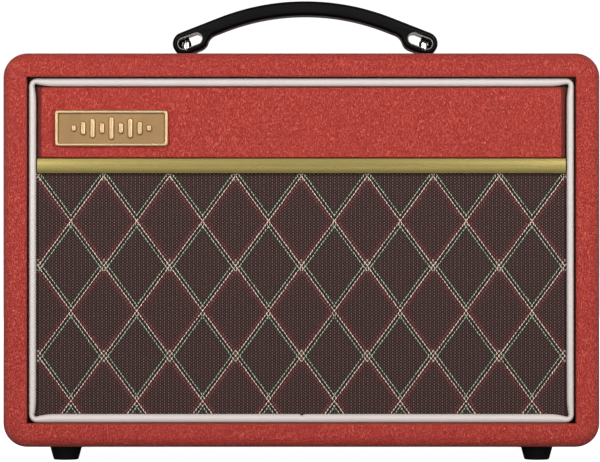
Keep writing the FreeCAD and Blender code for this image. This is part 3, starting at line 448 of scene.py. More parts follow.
def grille_weave():
    """The ground of the grille cloth: upright cords of short brown stitches on a dark maroon backing."""
    s = Shader("grille_weave", Specular_IOR_Level=0.25)
    x, z, near, green = cloth_pattern(s)
    wobble = s.times(s.minus(s.noise(120, 2), 0.5), 0.0006)
    column = s.over(s.plus(x, wobble), CORD_X)
    index = s.math("ROUND", column)
    across = s.size(s.minus(column, index))
    odd = s.math("FRACT", s.times(s.size(index), 0.5))
    row = s.plus(s.over(z, CORD_Z), odd)
    along = s.size(s.minus(row, s.math("ROUND", row)))
    stitch = s.minus(1.0, s.math("SQRT", s.plus(s.math("POWER", s.times(across, 2.1), 2.0),
                                                s.math("POWER", s.times(along, 2.3), 2.0))), clamp=True)
    fibre = s.noise(1500, 2, 0.6, s.stretched((3, 1, 0.5)))
    ground = s.mix(s.noise(22, 3, 0.6), srgb(14, 3, 3), srgb(26, 8, 8))
    tone = s.mix(s.times(odd, 1.5, clamp=True), srgb(116, 90, 83), srgb(80, 48, 43))
    tone = s.mix(s.times(fibre, 0.6), tone, srgb(70, 42, 40))
    base = s.mix(s.ramp(stitch, (0.05, 0.0), (0.75, 1.0)), ground, tone)
    # Along the lattice lines the cells turn olive or wine, and a dark gap runs beside them in the olive ones.
    inside = s.times(s.minus(1.0, s.over(near, 0.0060), clamp=True), 0.6)
    olive = s.mix(stitch, srgb(9, 14, 8), srgb(58, 68, 52))
    wine = s.mix(stitch, srgb(38, 8, 10), srgb(122, 58, 58))
    base = s.mix(inside, base, s.mix(green, wine, olive))
    gap = s.times(s.band(near, 0.00105, 0.00035, 0.0004), green)
    s.set("Base Color", s.mix(s.times(gap, 0.85), base, srgb(14, 17, 11)))
    s.set("Roughness", 0.78)
    return s.bump(s.plus(stitch, s.times(fibre, 0.15)), 0.9, 0.0004)


def yarn(name, light, dark):
    """A bright strand: twisted fibres that catch the light unevenly."""
    s = Shader(name, Specular_IOR_Level=0.45, Roughness=0.55, Sheen_Weight=0.2)
    fibres = s.noise(2600, 2, 0.6, s.stretched((1, 1, 0.6)))
    dark = srgb(*dark)
    s.set("Base Color", s.mix(s.times(s.noise(260, 2, 0.6), 0.5), s.mix(fibres, dark, srgb(*light)), dark))
    return s.bump(fibres, 0.5, 0.00008)


def wood(name, light, dark, stretch):
    """Plywood or batten: fine straight grain along the least stretched axis, with soft growth bands."""
    s = Shader(name, Roughness=0.68, Specular_IOR_Level=0.3)
    dark = srgb(*dark)
    fibre = s.noise(420, 4, 0.65, s.stretched(stretch))
    bands = s.noise(46, 3, 0.55, s.stretched(stretch), distortion=0.6)
    tone = s.mix(s.ramp(bands, (0.35, 0.0), (0.65, 1.0)), srgb(*light), dark)
    s.set("Base Color", s.mix(s.times(fibre, 0.45), tone, shade(dark, 0.55)))
    return s.bump(fibre, 0.25, 0.0002)


def gold_satin():
    s = Shader("gold_satin", Metallic=1.0)
    lines = s.noise(500, 3, 0.6, s.stretched((0.02, 1, 1)))
    dust = s.noise(900, 3, 0.6)
    tone = s.mix(lines, srgb(172, 158, 98), srgb(156, 140, 84))
    s.set("Base Color", s.mix(s.times(dust, 0.25), tone, srgb(138, 120, 68)))
    s.set("Roughness", s.math("MULTIPLY_ADD", lines, 0.10, 0.23))
    return s.bump(s.plus(lines, s.times(dust, 0.3)), 0.06, 0.00006)


def badge_gold(name, light, dark, rough, scale):
    s = Shader(name, Metallic=0.9)
    haze = s.noise(70, 3, 0.6)
    s.set("Base Color", s.mix(s.times(haze, 0.7), srgb(*light), srgb(*dark)))
    s.set("Roughness", s.math("MULTIPLY_ADD", haze, 0.15, rough))
    return s.bump(s.voronoi(scale), 0.35, 0.0001)


def strap_rubber():
    s = Shader("strap_rubber", Specular_IOR_Level=0.08)
    worn = s.noise(36, 4, 0.65)
    s.set("Base Color", s.mix(worn, srgb(2, 2, 2), srgb(6, 5, 5)))
    s.set("Roughness", s.math("MULTIPLY_ADD", worn, 0.14, 0.30))
    return s.bump(s.plus(s.voronoi(1300), s.times(s.noise(2400, 3, 0.6), 0.5)), 0.22, 0.00010)


def lamp_glass():
    s = Shader("lamp_lens", Roughness=0.12, IOR=1.49, Specular_IOR_Level=0.6, Coat_Weight=0.5)
    s.set("Base Color", s.mix(s.noise(160, 2, 0.5), srgb(176, 14, 10), srgb(210, 30, 20)))
    return s.bump(s.noise(900, 2), 0.05, 0.0001)


RED = leatherette("red_leatherette")
# A copy of the vinyl darkened with painted shade, for the panel's end slopes.
RED_SHADED = leatherette("red_leatherette_shaded", folded=0.55)
RED_CABINET = leatherette("red_leatherette_cabinet", seams=True)
CREAM = speckled("cream_piping", (188, 181, 177), (173, 165, 158), 0.36, 500, 0.12, 0.00012, 0.6)
WEAVE = grille_weave()
YARN_CREAM = yarn("yarn_cream", (238, 216, 200), (200, 158, 142))
YARN_MINT = yarn("yarn_mint", (204, 210, 186), (128, 144, 120))
YARN_WINE = yarn("yarn_wine", (132, 62, 64), (74, 24, 28))
PLY = wood("birch_ply", (206, 172, 122), (178, 138, 90), (1, 0.06, 1))
BATTEN = wood("pine_batten", (214, 184, 132), (186, 146, 92), (1, 1, 0.06))
BOARD = wood("baffle_board_wood", (150, 118, 82), (120, 90, 60), (0.06, 1, 1))
GOLD = gold_satin()
BADGE_FIELD = badge_gold("badge_field", (138, 110, 76), (112, 86, 55), 0.45, 1400)
BADGE_EDGE = badge_gold("badge_edge", (184, 158, 122), (160, 130, 90), 0.27, 3000)
STRAP = strap_rubber()
CHROME = metal("chrome", (232, 232, 230), 0.06, (1, 1, 1), 500, 0.02, 0.05)
SPRING = metal("spring_steel", (196, 194, 190), 0.22, (0.05, 1, 1), 500, 0.1)
ZINC = metal("zinc_plate", (186, 184, 176), 0.32, (1, 1, 1), 300, 0.12)
PLATED = metal("plated_steel", (172, 170, 160), 0.38, (1, 0.1, 1), 320, 0.15)
SHEET = metal("zinc_sheet", (170, 172, 170), 0.36, (0.04, 1, 1), 420, 0.15)
SCREW_BLACK = speckled("screw_black", (26, 26, 27), (44, 43, 42), 0.36, 600, 0.1, Metallic=0.4)
RUBBER = speckled("foot_rubber", (9, 9, 9), (18, 17, 17), 0.50, 700, 0.3, 0.0002, Specular_IOR_Level=0.1)
BASKET = speckled("basket_enamel", (20, 20, 22), (32, 32, 34), 0.34, 200, 0.2, 0.0002)
FERRITE = speckled("ferrite", (46, 46, 49), (64, 62, 62), 0.72, 500, 0.4, 0.0003)
CARD = speckled("gasket_card", (66, 60, 52), (88, 80, 68), 0.85, 500, 0.4, 0.0003)
CONE = speckled("cone_paper", (34, 32, 32), (52, 49, 47), 0.86, 650, 0.55, 0.0004)
SURROUND = speckled("surround_cloth", (24, 22, 22), (38, 35, 34), 0.7, 800, 0.5, 0.0003)
SPIDER = speckled("spider_cloth", (190, 142, 58), (160, 112, 44), 0.7, 900, 0.6, 0.0003)
COPPER = metal("copper_winding", (206, 122, 66), 0.3, (1, 0.05, 1), 900, 0.3)
TAG = speckled("tag_fibre", (132, 92, 54), (106, 70, 40), 0.6, 600, 0.25)
FASCIA = speckled("panel_black", (19, 19, 21), (28, 28, 30), 0.38, 900, 0.12, 0.0001)
INK = speckled("panel_ink", (226, 220, 204), (210, 202, 184), 0.5, 900, 0.1)
PCB = speckled("solder_mask", (16, 74, 36), (26, 96, 48), 0.3, 300, 0.1)
SLEEVE = speckled("capacitor_sleeve", (20, 32, 74), (30, 44, 92), 0.28, 200, 0.06)
ANODISED = metal("black_anodised", (44, 44, 47), 0.4, (1, 1, 0.05), 500, 0.15)
LAMINATION = metal("laminations", (92, 86, 80), 0.5, (0.02, 0.02, 1.6), 700, 0.5)
TAPE = speckled("coil_tape", (212, 176, 72), (190, 150, 52), 0.36, 260, 0.12)
MOULDED = speckled("moulded_black", (16, 16, 17), (25, 25, 26), 0.42, 900, 0.2, 0.00012)
GLOSSY = speckled("gloss_black", (12, 12, 13), (19, 19, 20), 0.16, 500, 0.03, 0.0001, rough_spread=0.05)
KNOB = speckled("knob_plastic", (15, 15, 16), (23, 23, 24), 0.26, 600, 0.06, 0.0001)
SHAFT = metal("turned_aluminium", (200, 200, 200), 0.28, (1, 1, 0.1), 600, 0.12)
BRASS = metal("pin_brass", (206, 178, 110), 0.25, (1, 0.1, 1), 500, 0.1)
LAMP = lamp_glass()
WIRE_RED = speckled("wire_red", (150, 22, 20), rough=0.4, scale=500, bump=0.08)
WIRE_BLACK = speckled("wire_black", (18, 18, 18), rough=0.4, scale=500, bump=0.08)


# ---- covering ----

def covering():
    """The red skin: swept round the cabinet from the front lining to the rear one, with the controls' slot on top."""
    lip, inner, back_lip, rolled = 1.5 * MM, 14.5 * MM, 1 * MM, 1.5 * MM
    # How far in from the side, and how far back: from inside the front, over its edge, along the flat, and in again.
    profile = [(inner, Y0 + 22 * MM), (WALL, Y0 + 22 * MM), (WALL, Y0 + lip)]
    profile += arc((WALL - lip, Y0 + lip), lip, 0, -90, 6)[1:] + [(10.4 * MM, Y0)]
    profile += arc((8 * MM, Y0 + 8 * MM), 8 * MM, -90, -180, 12)
    flat_from = len(profile) - 1
    profile += arc((3 * MM, Y1 - 3 * MM), 3 * MM, 180, 90, 6) + [(WALL - back_lip, Y1)]
    profile += arc((WALL - back_lip, Y1 - back_lip), back_lip, 90, 0, 4)[1:]
    profile += [(WALL, Y1 - 12 * MM), (inner, Y1 - 12 * MM)]
    steps = 10
    points = []
    for inset, y in profile:
        ring = rounded_rect(X1 - inset, (Z1 - Z0) / 2 - inset, max(CORNER - inset, 0.4 * MM), steps, (0, MID_Z))
        points += [(p[0], y, p[1]) for p in ring]
    columns = 4 * (steps + 1)
    top = flat_from * columns + 2 * (steps + 1) - 1
    faces = [f for i, f in enumerate(grid_faces(len(profile), columns, close_columns=True)) if i != top]
    # The flat top, with the slot's rolled edge and walls.
    loops = []
    for out, z in arc((rolled, Z1 - rolled), rolled, 90, 180, 5) + [(0, Z1 - 14.5 * MM)]:
        start = len(points)
        loop = rounded_rect(146 * MM + out, 21 * MM + out, 6 * MM + out, 6, (0, CONTROLS_Y))
        points += [(p[0], p[1], z) for p in loop]
        loops.append(list(range(start, start + len(loop))))
    for a, b in zip(loops, loops[1:]):
        faces += [(a[i], a[(i + 1) % len(a)], b[(i + 1) % len(a)], b[i]) for i in range(len(a))]
    faces += fill(points, [[top, top + 1, top + columns + 1, top + columns], loops[0]], (0, 1))
    outwards(piece("covering", points, faces, "cabinet", RED_CABINET, "covering", ["vinyl_covering"]))


covering()


# ---- front ----

def bead():
    """The piping's round bead, nipped at the corners and where its ends meet under the middle of the grille."""
    radius, corner, half_w = 2.6 * MM, 3 * MM, 171.3 * MM
    low, high = 27.1 * MM, 241.5 * MM
    mid, half_h = (low + high) / 2, (high - low) / 2
    nip, taper = 0.62, 14 * MM
    even = np.concatenate([np.linspace(0, 0.06, 9)[1:], np.linspace(0.07, 0.93, 50), np.linspace(0.94, 1, 9)[:-1]])
    bottom = sorted(list(even) + [0.5 + d for d in (-0.012, -0.0036, -0.0018, 0.0, 0.0018, 0.0036, 0.012)])
    runs = (((half_w, low + corner), (half_w, high - corner), even),
            ((half_w - corner, high), (-half_w + corner, high), even),
            ((-half_w, high - corner), (-half_w, low + corner), even),
            ((-half_w + corner, low), (half_w - corner, low), bottom))
    path = []
    for (sx, sz, start), (a, b, spots) in zip(CORNERS, runs):
        path += arc((sx * (half_w - corner), mid + sz * (half_h - corner)), corner, start, start + 90, 8)
        path += [(a[0] + (b[0] - a[0]) * t, a[1] + (b[1] - a[1]) * t) for t in spots]
    path = np.array(path)
    widths = []
    for x, z in path:
        upright = half_w - abs(x) < half_h - abs(z - mid)
        full = 0.925 if upright else 1.07 if z < mid else 1.02
        ease = min(max(half_w - abs(x), half_h - abs(z - mid)) / taper, 1.0)
        width = nip + (full - nip) * ease * (2 - ease)
        if abs(z - low) < 1e-6 and abs(x - 0.5 * MM) < 1.5 * MM:
            width = 0.9 if abs(x - 0.3 * MM) < 0.4 * MM else 1.0
        widths.append(width)
    tangent = np.roll(path, -1, 0) - np.roll(path, 1, 0)
    tangent /= np.linalg.norm(tangent, axis=1)[:, None]
    normal = np.stack([tangent[:, 1], -tangent[:, 0]], 1)
    wave = np.cumsum(RNG.normal(0, 1, len(path)))
    wave = (wave - np.linspace(wave[0], wave[-1], len(path)))
    wave *= 0.05 * MM / max(np.abs(wave).max(), 1e-9)
    around = 22
    points = []
    for (x, z), width, n, w in zip(path, widths, normal, wave):
        for a in np.linspace(0, 2 * math.pi, around, endpoint=False):
            out = radius * (1 - width) + radius * width * math.cos(a) + w
            points.append((x + n[0] * out, Y0 + 6.6 * MM + radius * math.sin(a), z + n[1] * out))
    build = Build().add(points, grid_faces(len(path), around, close_rows=True, close_columns=True))
    # The flange that holds the bead, out of sight behind it.
    outer = rounded_rect(172.6 * MM, 108 * MM, 0.8 * MM, 2, (0, mid))
    inner = rounded_rect(171.4 * MM, 106.8 * MM, 0.6 * MM, 2, (0, mid))[::-1]
    plate(build, "XZ", outer, [inner], Y0 + 11 * MM, Y0 + 16.6 * MM)
    outwards(build.piece("piping_bead", "cabinet", CREAM, "piping_cream", replaces=["piping"], sharp=60))


bead()


def front_panel():
    """The raised panel: a board, and vinyl turned tightly over its long edges and softly over its two ends."""
    mid, half_w, half_h = middle_and_half(PANEL_LO, PANEL_HI)
    thick, slope = 4.1 * MM, 3.3 * MM

    def outline(inset):
        share = inset / thick
        end = slope * (0.75 * math.sqrt(max(0.0, 1 - (1 - share) ** 2)) + 0.25 * share)
        return rounded_rect(half_w - end, half_h - 0.26 * inset, 1.6 * MM, 5, mid)

    skin = outwards(plate(Build(), "XZ", outline, [], PANEL_LO[1], PANEL_HI[1], thick, steps=10).piece(
        "front_panel_skin", "cabinet", [RED, RED_SHADED], "covering", replaces=["front_panel_vinyl"], sharp=50))
    # The end slopes, which face sideways, take the copy of the vinyl with painted shade.
    for polygon in skin.data.polygons:
        if abs(polygon.normal.x) > 0.4:
            polygon.material_index = 1
    core = nested(half_w - 4.2 * MM, half_h - 1.6 * MM, 1 * MM, 3, mid)
    plate(Build(), "XZ", core, [], PANEL_LO[1] + 0.8 * MM, PANEL_HI[1], 0.3 * MM, steps=2).piece(
        "front_panel_core", "cabinet", BOARD, "ply", replaces=["front_panel_board"], sharp=40)


front_panel()


def half_round():
    """The gold strip, a moulding with a low crown, softened long edges and straight sides."""
    y_back, low, high = STRIP_HI[1], STRIP_LO[2], STRIP_HI[2]
    mid, half = (low + high) / 2, (high - low) / 2
    rise, ease = 0.8 * MM, 0.6 * MM
    brow = STRIP_LO[1] + rise
    lower = [(y_back, low), (brow + ease, low)]
    lower += arc((brow + ease, low + ease), ease, -90 - math.degrees(0.25), -90 - math.degrees(1.15), 3)
    section = lower + [(STRIP_LO[1] + rise * a * a, mid + (half - ease) * a) for a in np.linspace(-1, 1, 19)]
    section += [(y, low + high - z) for y, z in reversed(lower)]
    count = len(section)
    x0, x1 = STRIP_LO[0], STRIP_HI[0]
    stations = [x0, x0 + 0.25 * MM, *np.linspace(x0 + 2 * MM, x1 - 2 * MM, 60), x1 - 0.25 * MM, x1]
    points = []
    for x in stations:
        shrink = 0.3 * MM if x in (x0, x1) else 0.0
        for y, z in section:
            points.append((x, min(y + (shrink if y < y_back else 0), y_back), z + (shrink if z < mid else -shrink)))
    ends = [range(count), reversed(range(len(points) - count, len(points)))]
    build = Build().add(points, grid_faces(len(stations), count, close_columns=True) + ends)
    outwards(build.piece("gold_strip", "cabinet", GOLD, "gold_trim", replaces=["trim_strip"], sharp=50))


half_round()


def badge():
    """A plain plaque: a rounded rim round a sunken field, with nine upright bars."""
    lo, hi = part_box("badge")
    mid, half_w, half_h = middle_and_half(lo, hi)
    front, back = lo[1], PANEL_LO[1]
    inner = rounded_rect(half_w - 2 * MM, half_h - 2 * MM, 1.0 * MM, 6, mid)[::-1]
    field = rounded_rect(half_w - 1.6 * MM, half_h - 1.6 * MM, 1.0 * MM, 4, mid)
    build = Build()
    plate(build, "XZ", nested(half_w, half_h, 2.2 * MM, 6, mid), [inner], front, back, 0.7 * MM, 0.1 * MM, 0.5 * MM,
          steps=4, mark=1)
    plate(build, "XZ", field, [], back - 1.1 * MM, back - 0.1 * MM)
    for i, tall in zip(range(-4, 5), (2.2, 4.4, 6.4, 3.6, 7.4, 3.6, 6.4, 4.4, 2.2)):
        bar = nested(1.6 * MM, tall * MM, 1.5 * MM, 5, (mid[0] + 6 * i * MM, mid[1]))
        plate(build, "XZ", bar, [], front + 0.2 * MM, back - 1.0 * MM, 0.8 * MM, steps=4, mark=1)
    outwards(build.piece("badge_plaque", "cabinet", [BADGE_FIELD, BADGE_EDGE], "badge_gold", replaces=["badge"],
                         sharp=40))


badge()


# ---- grille cloth ----

GRILLE_LOW, GRILLE_HIGH, GRILLE_X = 26.6 * MM, 184.4 * MM, 169 * MM


def grille_cloth():
    """One cut of cloth over the baffle, folded round its four edges, with its cords standing up where it shows."""
    lo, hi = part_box("grille_cloth")
    x_edge, z_low, z_high = hi[0], lo[2], hi[2]
    front, back = lo[1], hi[1]
    wrap, fold = back - front, 10 * MM
    # The cords only stand up where the cloth shows, with a little to spare.
    cords_x, cords_top = 172 * MM, GRILLE_HIGH + 1 * MM
    columns, rows = CORD_X / 2, CORD_Z / 2
    turned = (x_edge, x_edge + wrap, x_edge + wrap + fold)
    count = int(x_edge / columns)
    xs = [i * columns for i in range(-count, count + 1)]
    us = [-u for u in reversed(turned)] + [x for x in xs if abs(x) < x_edge - 0.2 * MM] + list(turned)
    first = math.ceil((z_low + 0.5 * MM - LATTICE_Z0) / rows)
    last = math.floor((cords_top - LATTICE_Z0) / rows)
    zs = [LATTICE_Z0 + i * rows for i in range(first, last + 1)]
    vs = [z_low - wrap - fold, z_low - wrap, z_low, *zs, *np.linspace(zs[-1] + 8 * MM, z_high - 8 * MM, 6),
          z_high, z_high + wrap, z_high + wrap + fold]

    def folded(value, low, high):
        """Where a point of the flat cloth ends up: along the front, and how deep."""
        past = max(value - high, low - value)
        if past <= 0:
            return value, front
        inward = max(past - wrap, 0)
        return (high - inward if value > high else low + inward), front + min(past, wrap)

    points, faces, where = [], [], {}
    for j, v in enumerate(vs):
        z, deep_z = folded(v, z_low, z_high)
        for i, u in enumerate(us):
            x, deep_x = folded(u, -x_edge, x_edge)
            y = max(deep_x, deep_z)
            column, row = round(x / columns), round((z - LATTICE_Z0) / rows)
            if y == front and column % 2 == 0 and abs(x) < cords_x and z < cords_top:
                y -= (0.16 if (row + column // 2) % 2 == 0 else 0.06) * MM
            where[(i, j)] = len(points)
            points.append((x, y, z))
    for j in range(len(vs) - 1):
        for i in range(len(us) - 1):
            if not ((i < 2 or i >= len(us) - 3) and (j < 2 or j >= len(vs) - 3)):
                faces.append((where[i, j], where[i + 1, j], where[i + 1, j + 1], where[i, j + 1]))
    used = sorted({i for f in faces for i in f})
    again = {old: new for new, old in enumerate(used)}
    flat = (2 * (x_edge + wrap + fold), (z_high - z_low) + 2 * (wrap + fold))
    return piece("grille_cloth_sheet", [points[i] for i in used], [tuple(again[i] for i in f) for f in faces],
                 "cabinet", WEAVE, "cloth", ["grille_cloth"]), flat


def stitch_shape(rings=5, around=6):
    """A small pillow, as unit points and faces."""
    points = [(0, 0, -1)]
    for k in range(1, rings):
        a = -math.pi / 2 + math.pi * k / rings
        for t in np.linspace(0, 2 * math.pi, around, endpoint=False):
            points.append((math.cos(a) * math.cos(t), math.cos(a) * math.sin(t), math.sin(a)))
    points.append((0, 0, 1))
    faces = [(0, 1 + (i + 1) % around, 1 + i) for i in range(around)]
    faces += [tuple(1 + i for i in f) for f in grid_faces(rings - 1, around, close_columns=True)]
    top = len(points) - 1
    a = top - around
    faces += [(a + i, a + (i + 1) % around, top) for i in range(around)]
    return np.array(points), faces


def stitches(name, spots, width, length, proud, look):
    """Many small raised stitches as one piece. A spot is x, z and the slant from upright, in degrees."""
    unit, faces = stitch_shape()
    points, all_faces = [], []
    for x, z, slant in spots:
        a = math.radians(slant + RNG.normal(0, 4))
        scale = (1 + RNG.normal(0, 0.08)) * MM / 2
        local = unit * (width * scale, proud * MM, length * scale)
        px = x + RNG.normal(0, 0.04) * MM + local[:, 0] * math.cos(a) + local[:, 2] * math.sin(a)
        pz = z + RNG.normal(0, 0.05) * MM - local[:, 0] * math.sin(a) + local[:, 2] * math.cos(a)
        start = len(points) * len(unit)
        points.append(np.stack([px, CLOTH_Y - 0.05 * MM + local[:, 1], pz], 1))
        all_faces += [tuple(i + start for i in f) for f in faces]
    return piece(name, np.concatenate(points), all_faces, "cabinet", look, "cloth")


def lattice_stitches():
    """The diamond pattern: pale stitches on the lines, mint ones in the green cells, wine ones in the others."""
    cream, mint, wine = [], [], []
    length = math.hypot(1 / LATTICE_X, 1 / LATTICE_Z)
    tilt = 0.75 * math.degrees(math.atan(LATTICE_X / LATTICE_Z))
    first = math.ceil((GRILLE_LOW + 0.5 * MM - LATTICE_Z0) / CORD_Z)
    last = math.floor((GRILLE_HIGH - 1.2 * MM - LATTICE_Z0) / CORD_Z)

    def beside(x, z, sign, shift):
        """A spot beside a line: where it is, whether it is on the grille, whether its cell is green, how far it is
        from the crossing line, and whether that crossing is on a row of whole ones."""
        px, pz = np.array([x, z]) + shift * MM * np.array([1 / LATTICE_X, sign / LATTICE_Z]) / length
        u, v = px / LATTICE_X, (pz - LATTICE_Z0) / LATTICE_Z
        up, down = u + v, u - v
        other = down if sign == 1 else up
        inside = abs(px) < GRILLE_X and GRILLE_LOW + 0.4 * MM < pz < GRILLE_HIGH - 1 * MM
        green = (math.floor(up) + math.floor(down)) % 2 == 0
        middle = (round(up) + round(down)) / 2
        return (px, pz), inside, green, abs(other - round(other)) / length, abs(middle - round(middle)) < 0.01

    for row in range(first, last + 1):
        z = LATTICE_Z0 + row * CORD_Z
        for sign in (1, -1):
            for k in range(-9, 10):
                x = (k - sign * row * CORD_Z / LATTICE_Z) * LATTICE_X
                if abs(x) > GRILLE_X + 3 * MM:
                    continue
                slant = -sign * tilt
                if abs(x) < GRILLE_X:
                    cream.append((x, z, slant))
                for side in (1, -1):
                    spot, inside, green, gap, whole = beside(x, z, sign, side * 2.1)
                    if inside and (green and gap > 0.5 * MM or whole and gap <= 2.4 * MM):
                        mint.append((*spot, slant))
                    spot, inside, green, gap, _ = beside(x, z, sign, side * 1.85)
                    if inside and not green and gap > 1.9 * MM:
                        wine.append((*spot, slant * 0.4))
    return [stitches("lattice_cream", cream, 0.66, 2.0, 0.30, YARN_CREAM),
            stitches("lattice_mint", mint, 0.60, 1.9, 0.26, YARN_MINT),
            stitches("lattice_wine", wine, 0.62, 1.3, 0.22, YARN_WINE)]


cloth, cloth_flat = grille_cloth()
lattice_stitches()


# ---- handle ----

HANDLE_X, HANDLE_Y = 2.5 * MM, -12 * MM
STRAP_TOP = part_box("handle_strap")[1][2]
HEAD_TALL = 9.1
POST_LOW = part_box("handle_posts")[1][2] - HEAD_TALL * MM
POSTS = [(HANDLE_X + sign * 78.11 * MM, HANDLE_Y, 0) for sign in (-1, 1)]
THICK, HALF_WIDE = 9.3 * MM, 12 * MM
ARCH_R, ARCH_TURN = 154.6 * MM, 21.4
END_R, EYE_AT = 7.6 * MM, 28.2 * MM


def strap_side(sign, along, depth):
    """A point on one arm of the strap, along it and down from its top face, in the plane of the strap's side view."""
    turn = math.radians(ARCH_TURN)
    return (HANDLE_X + sign * (ARCH_R * math.sin(turn) + math.cos(turn) * along - math.sin(turn) * depth),
            STRAP_TOP - ARCH_R * (1 - math.cos(turn)) - math.sin(turn) * along - math.cos(turn) * depth)


def strap_outline():
    """The strap's side view: an arch, two straight arms and a rolled loop at each end."""
    fillet_r, loop_x = 8 * MM, 18.8 * MM
    reach, drop = fillet_r + END_R, THICK + fillet_r - END_R
    meet = math.degrees(math.acos(drop / reach))
    arm = [(1.5 * MM, THICK)]
    arm += arc((loop_x - math.sqrt(reach ** 2 - drop ** 2), END_R + drop), fillet_r, -90, meet - 90, 7)
    arm += arc((loop_x, END_R), END_R, 90 + meet, 90, 7)[1:]
    arm += arc((27.5 * MM, END_R), END_R, 90, -90, 21) + [(12 * MM, 0), (2 * MM, 0)]
    right = [strap_side(1, *p) for p in arm]
    left = [strap_side(-1, *p) for p in reversed(arm)]
    centre = (HANDLE_X, STRAP_TOP - ARCH_R)
    low = arc(centre, ARCH_R - THICK, 90 + ARCH_TURN, 90 - ARCH_TURN, 29)
    return low + right + arc(centre, ARCH_R, 90 - ARCH_TURN, 90 + ARCH_TURN, 29) + left


def strap_eye(sign):
    """The slot through one end loop, wider at its outer end."""
    loop = arc((EYE_AT, END_R), 4.7 * MM, 90, -90, 13) + arc((18.9 * MM, END_R), 3.9 * MM, -90, -270, 13)
    return [strap_side(sign, *p) for p in loop][::-sign]


def cut_away(obj, cutters):
    """Takes the cutters' shapes out of a piece, and removes the cutters."""
    for cutter in cutters:
        mod = obj.modifiers.new("cut", "BOOLEAN")
        mod.operation, mod.solver, mod.object = "DIFFERENCE", "EXACT", cutter
    bpy.context.view_layer.update()
    done = bpy.data.meshes.new_from_object(obj.evaluated_get(bpy.context.evaluated_depsgraph_get()))
    obj.modifiers.clear()
    obj.data = done
    for cutter in cutters:
        bpy.data.objects.remove(cutter)


def strap():
    """The rubber strap, bored for the posts' heads and stems, and the web across each slot's outer end."""
    build = plate(Build(), "XZ", strap_outline(), [strap_eye(sign) for sign in (-1, 1)], HANDLE_Y - HALF_WIDE,
                  HANDLE_Y + HALF_WIDE, 2.4 * MM, 2.4 * MM, 0.6 * MM, steps=6)
    obj = outwards(build.piece("strap", "handle", STRAP, "black_rubber", replaces=["handle_strap"]))
    # Each post has a wide bore for its head, and a narrow one for its stem that runs out under the strap.
    low, under = POST_LOW + 1.0 * MM, 257 * MM
    bores = ([(4.2, 0), (4.2, 9)], [(2.7, (under - low) / MM), (2.7, 1)])
    cut_away(obj, [outwards(plain("bore", *lathe(bore, spot, low, segments=48))) for spot in POSTS for bore in bores])
    smooth_by_angle(obj, 42)
    webs = Build()
    start, end = math.degrees(0.1) - 90, math.degrees(3.04) - 90
    corners = [(23.4 * MM, 3.4 * MM), (EYE_AT, 2.6 * MM)] + arc((EYE_AT, END_R), 5 * MM, start, end, 11)
    corners += [(EYE_AT, 12.6 * MM), (23.4 * MM, 11.8 * MM)]
    for sign in (-1, 1):
        plate(webs, "XZ", [strap_side(sign, *c) for c in corners][::-sign], [], HANDLE_Y + 4.7 * MM,
              HANDLE_Y + 8 * MM, 0.3 * MM, 0.3 * MM, steps=2)
    outwards(webs.piece("strap_webs", "handle", STRAP, "black_rubber", replaces=["handle_strap"], sharp=40))


strap()

post = [(2.2, -26), (2.2, 1.4), (3.25, 1.4), (3.5, 1.65), (3.5, 6.6), (3.42, 7.2), (3.15, 7.9), (2.7, 8.45),
        (2.0, 8.85), (1.1, 9.05), (0.02, HEAD_TALL)]
Build().turn(post, POSTS, base=POST_LOW).piece("chrome_posts", "cabinet", CHROME, "chrome",
                                               replaces=["handle_posts"], sharp=40)
ferrule = [(2.3, 0), (5.35, 0), (5.6, 0.15), (5.55, 0.45), (5.2, 0.65), (4.4, 0.8), (3.8, 0.92), (3.6, 1.1),
           (3.3, 1.2), (2.3, 1.2), (2.3, 0)]
Build().turn(ferrule, POSTS, base=Z1, cap=False).piece("chrome_ferrules", "cabinet", CHROME, "chrome",
                                                       replaces=["handle_ferrules"], sharp=40)


# ---- top controls ----

KNOBS = {name: (-58 + 36 * i) * MM for i, name in enumerate(("gain", "volume", "treble", "bass"))}
JACKS = (-126 * MM, 86 * MM)
JACK_BODY_TOP = 244.3 * MM
BUTTON_X, LAMP_X, POWER_X = -92 * MM, 108 * MM, 128 * MM


def control_panel():
    """The black fascia with a hole for each control, and the plain scale marks on it."""
    outer = rounded_rect(145.5 * MM, 20.5 * MM, 5.5 * MM, 8, (0, CONTROLS_Y))
    rounds = [(x, 3.5) for x in KNOBS.values()] + [(x, 4.75) for x in JACKS] + [(BUTTON_X, 4.3), (LAMP_X, 3)]
    holes = [circle(x, CONTROLS_Y, radius * MM)[::-1] for x, radius in rounds]
    holes += [rounded_rect(6.5 * MM, 9.5 * MM, 0.4 * MM, 2, (POWER_X, CONTROLS_Y))[::-1]]
    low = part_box("control_panel")[0][2]
    outwards(plate(Build(), "XY", outer, holes, low, CONTROLS_TOP, 0, 0.25 * MM, 0.12 * MM, steps=2).piece(
        "fascia", "cabinet", FASCIA, "fascia_black", replaces=["control_panel"], sharp=40))
    marks = Build()
    ink_low, ink_high = CONTROLS_TOP - 0.02 * MM, CONTROLS_TOP + 0.04 * MM
    for x in KNOBS.values():
        for k in range(11):
            a = math.radians(90 + 150 - 30 * k)
            along, across = np.array([math.cos(a), math.sin(a)]), np.array([-math.sin(a), math.cos(a)])
            inner, end = (11.0, 13.4) if k % 5 == 0 else (11.4, 12.8)
            box = [np.array([x, CONTROLS_Y]) + (along * reach + across * side * 0.45 / 2) * MM
                   for reach, side in ((inner, -1), (end, -1), (end, 1), (inner, 1))]
            plate(marks, "XY", box, [], ink_low, ink_high)
    edge = rounded_rect(142.8 * MM, 17.8 * MM, 4 * MM, 8, (0, CONTROLS_Y))
    inside = rounded_rect(142.4 * MM, 17.4 * MM, 3.7 * MM, 8, (0, CONTROLS_Y))[::-1]
    plate(marks, "XY", edge, [inside], ink_low, ink_high)
    outwards(marks.piece("scale_marks", "cabinet", INK, "fascia_black", smooth=False))


control_panel()


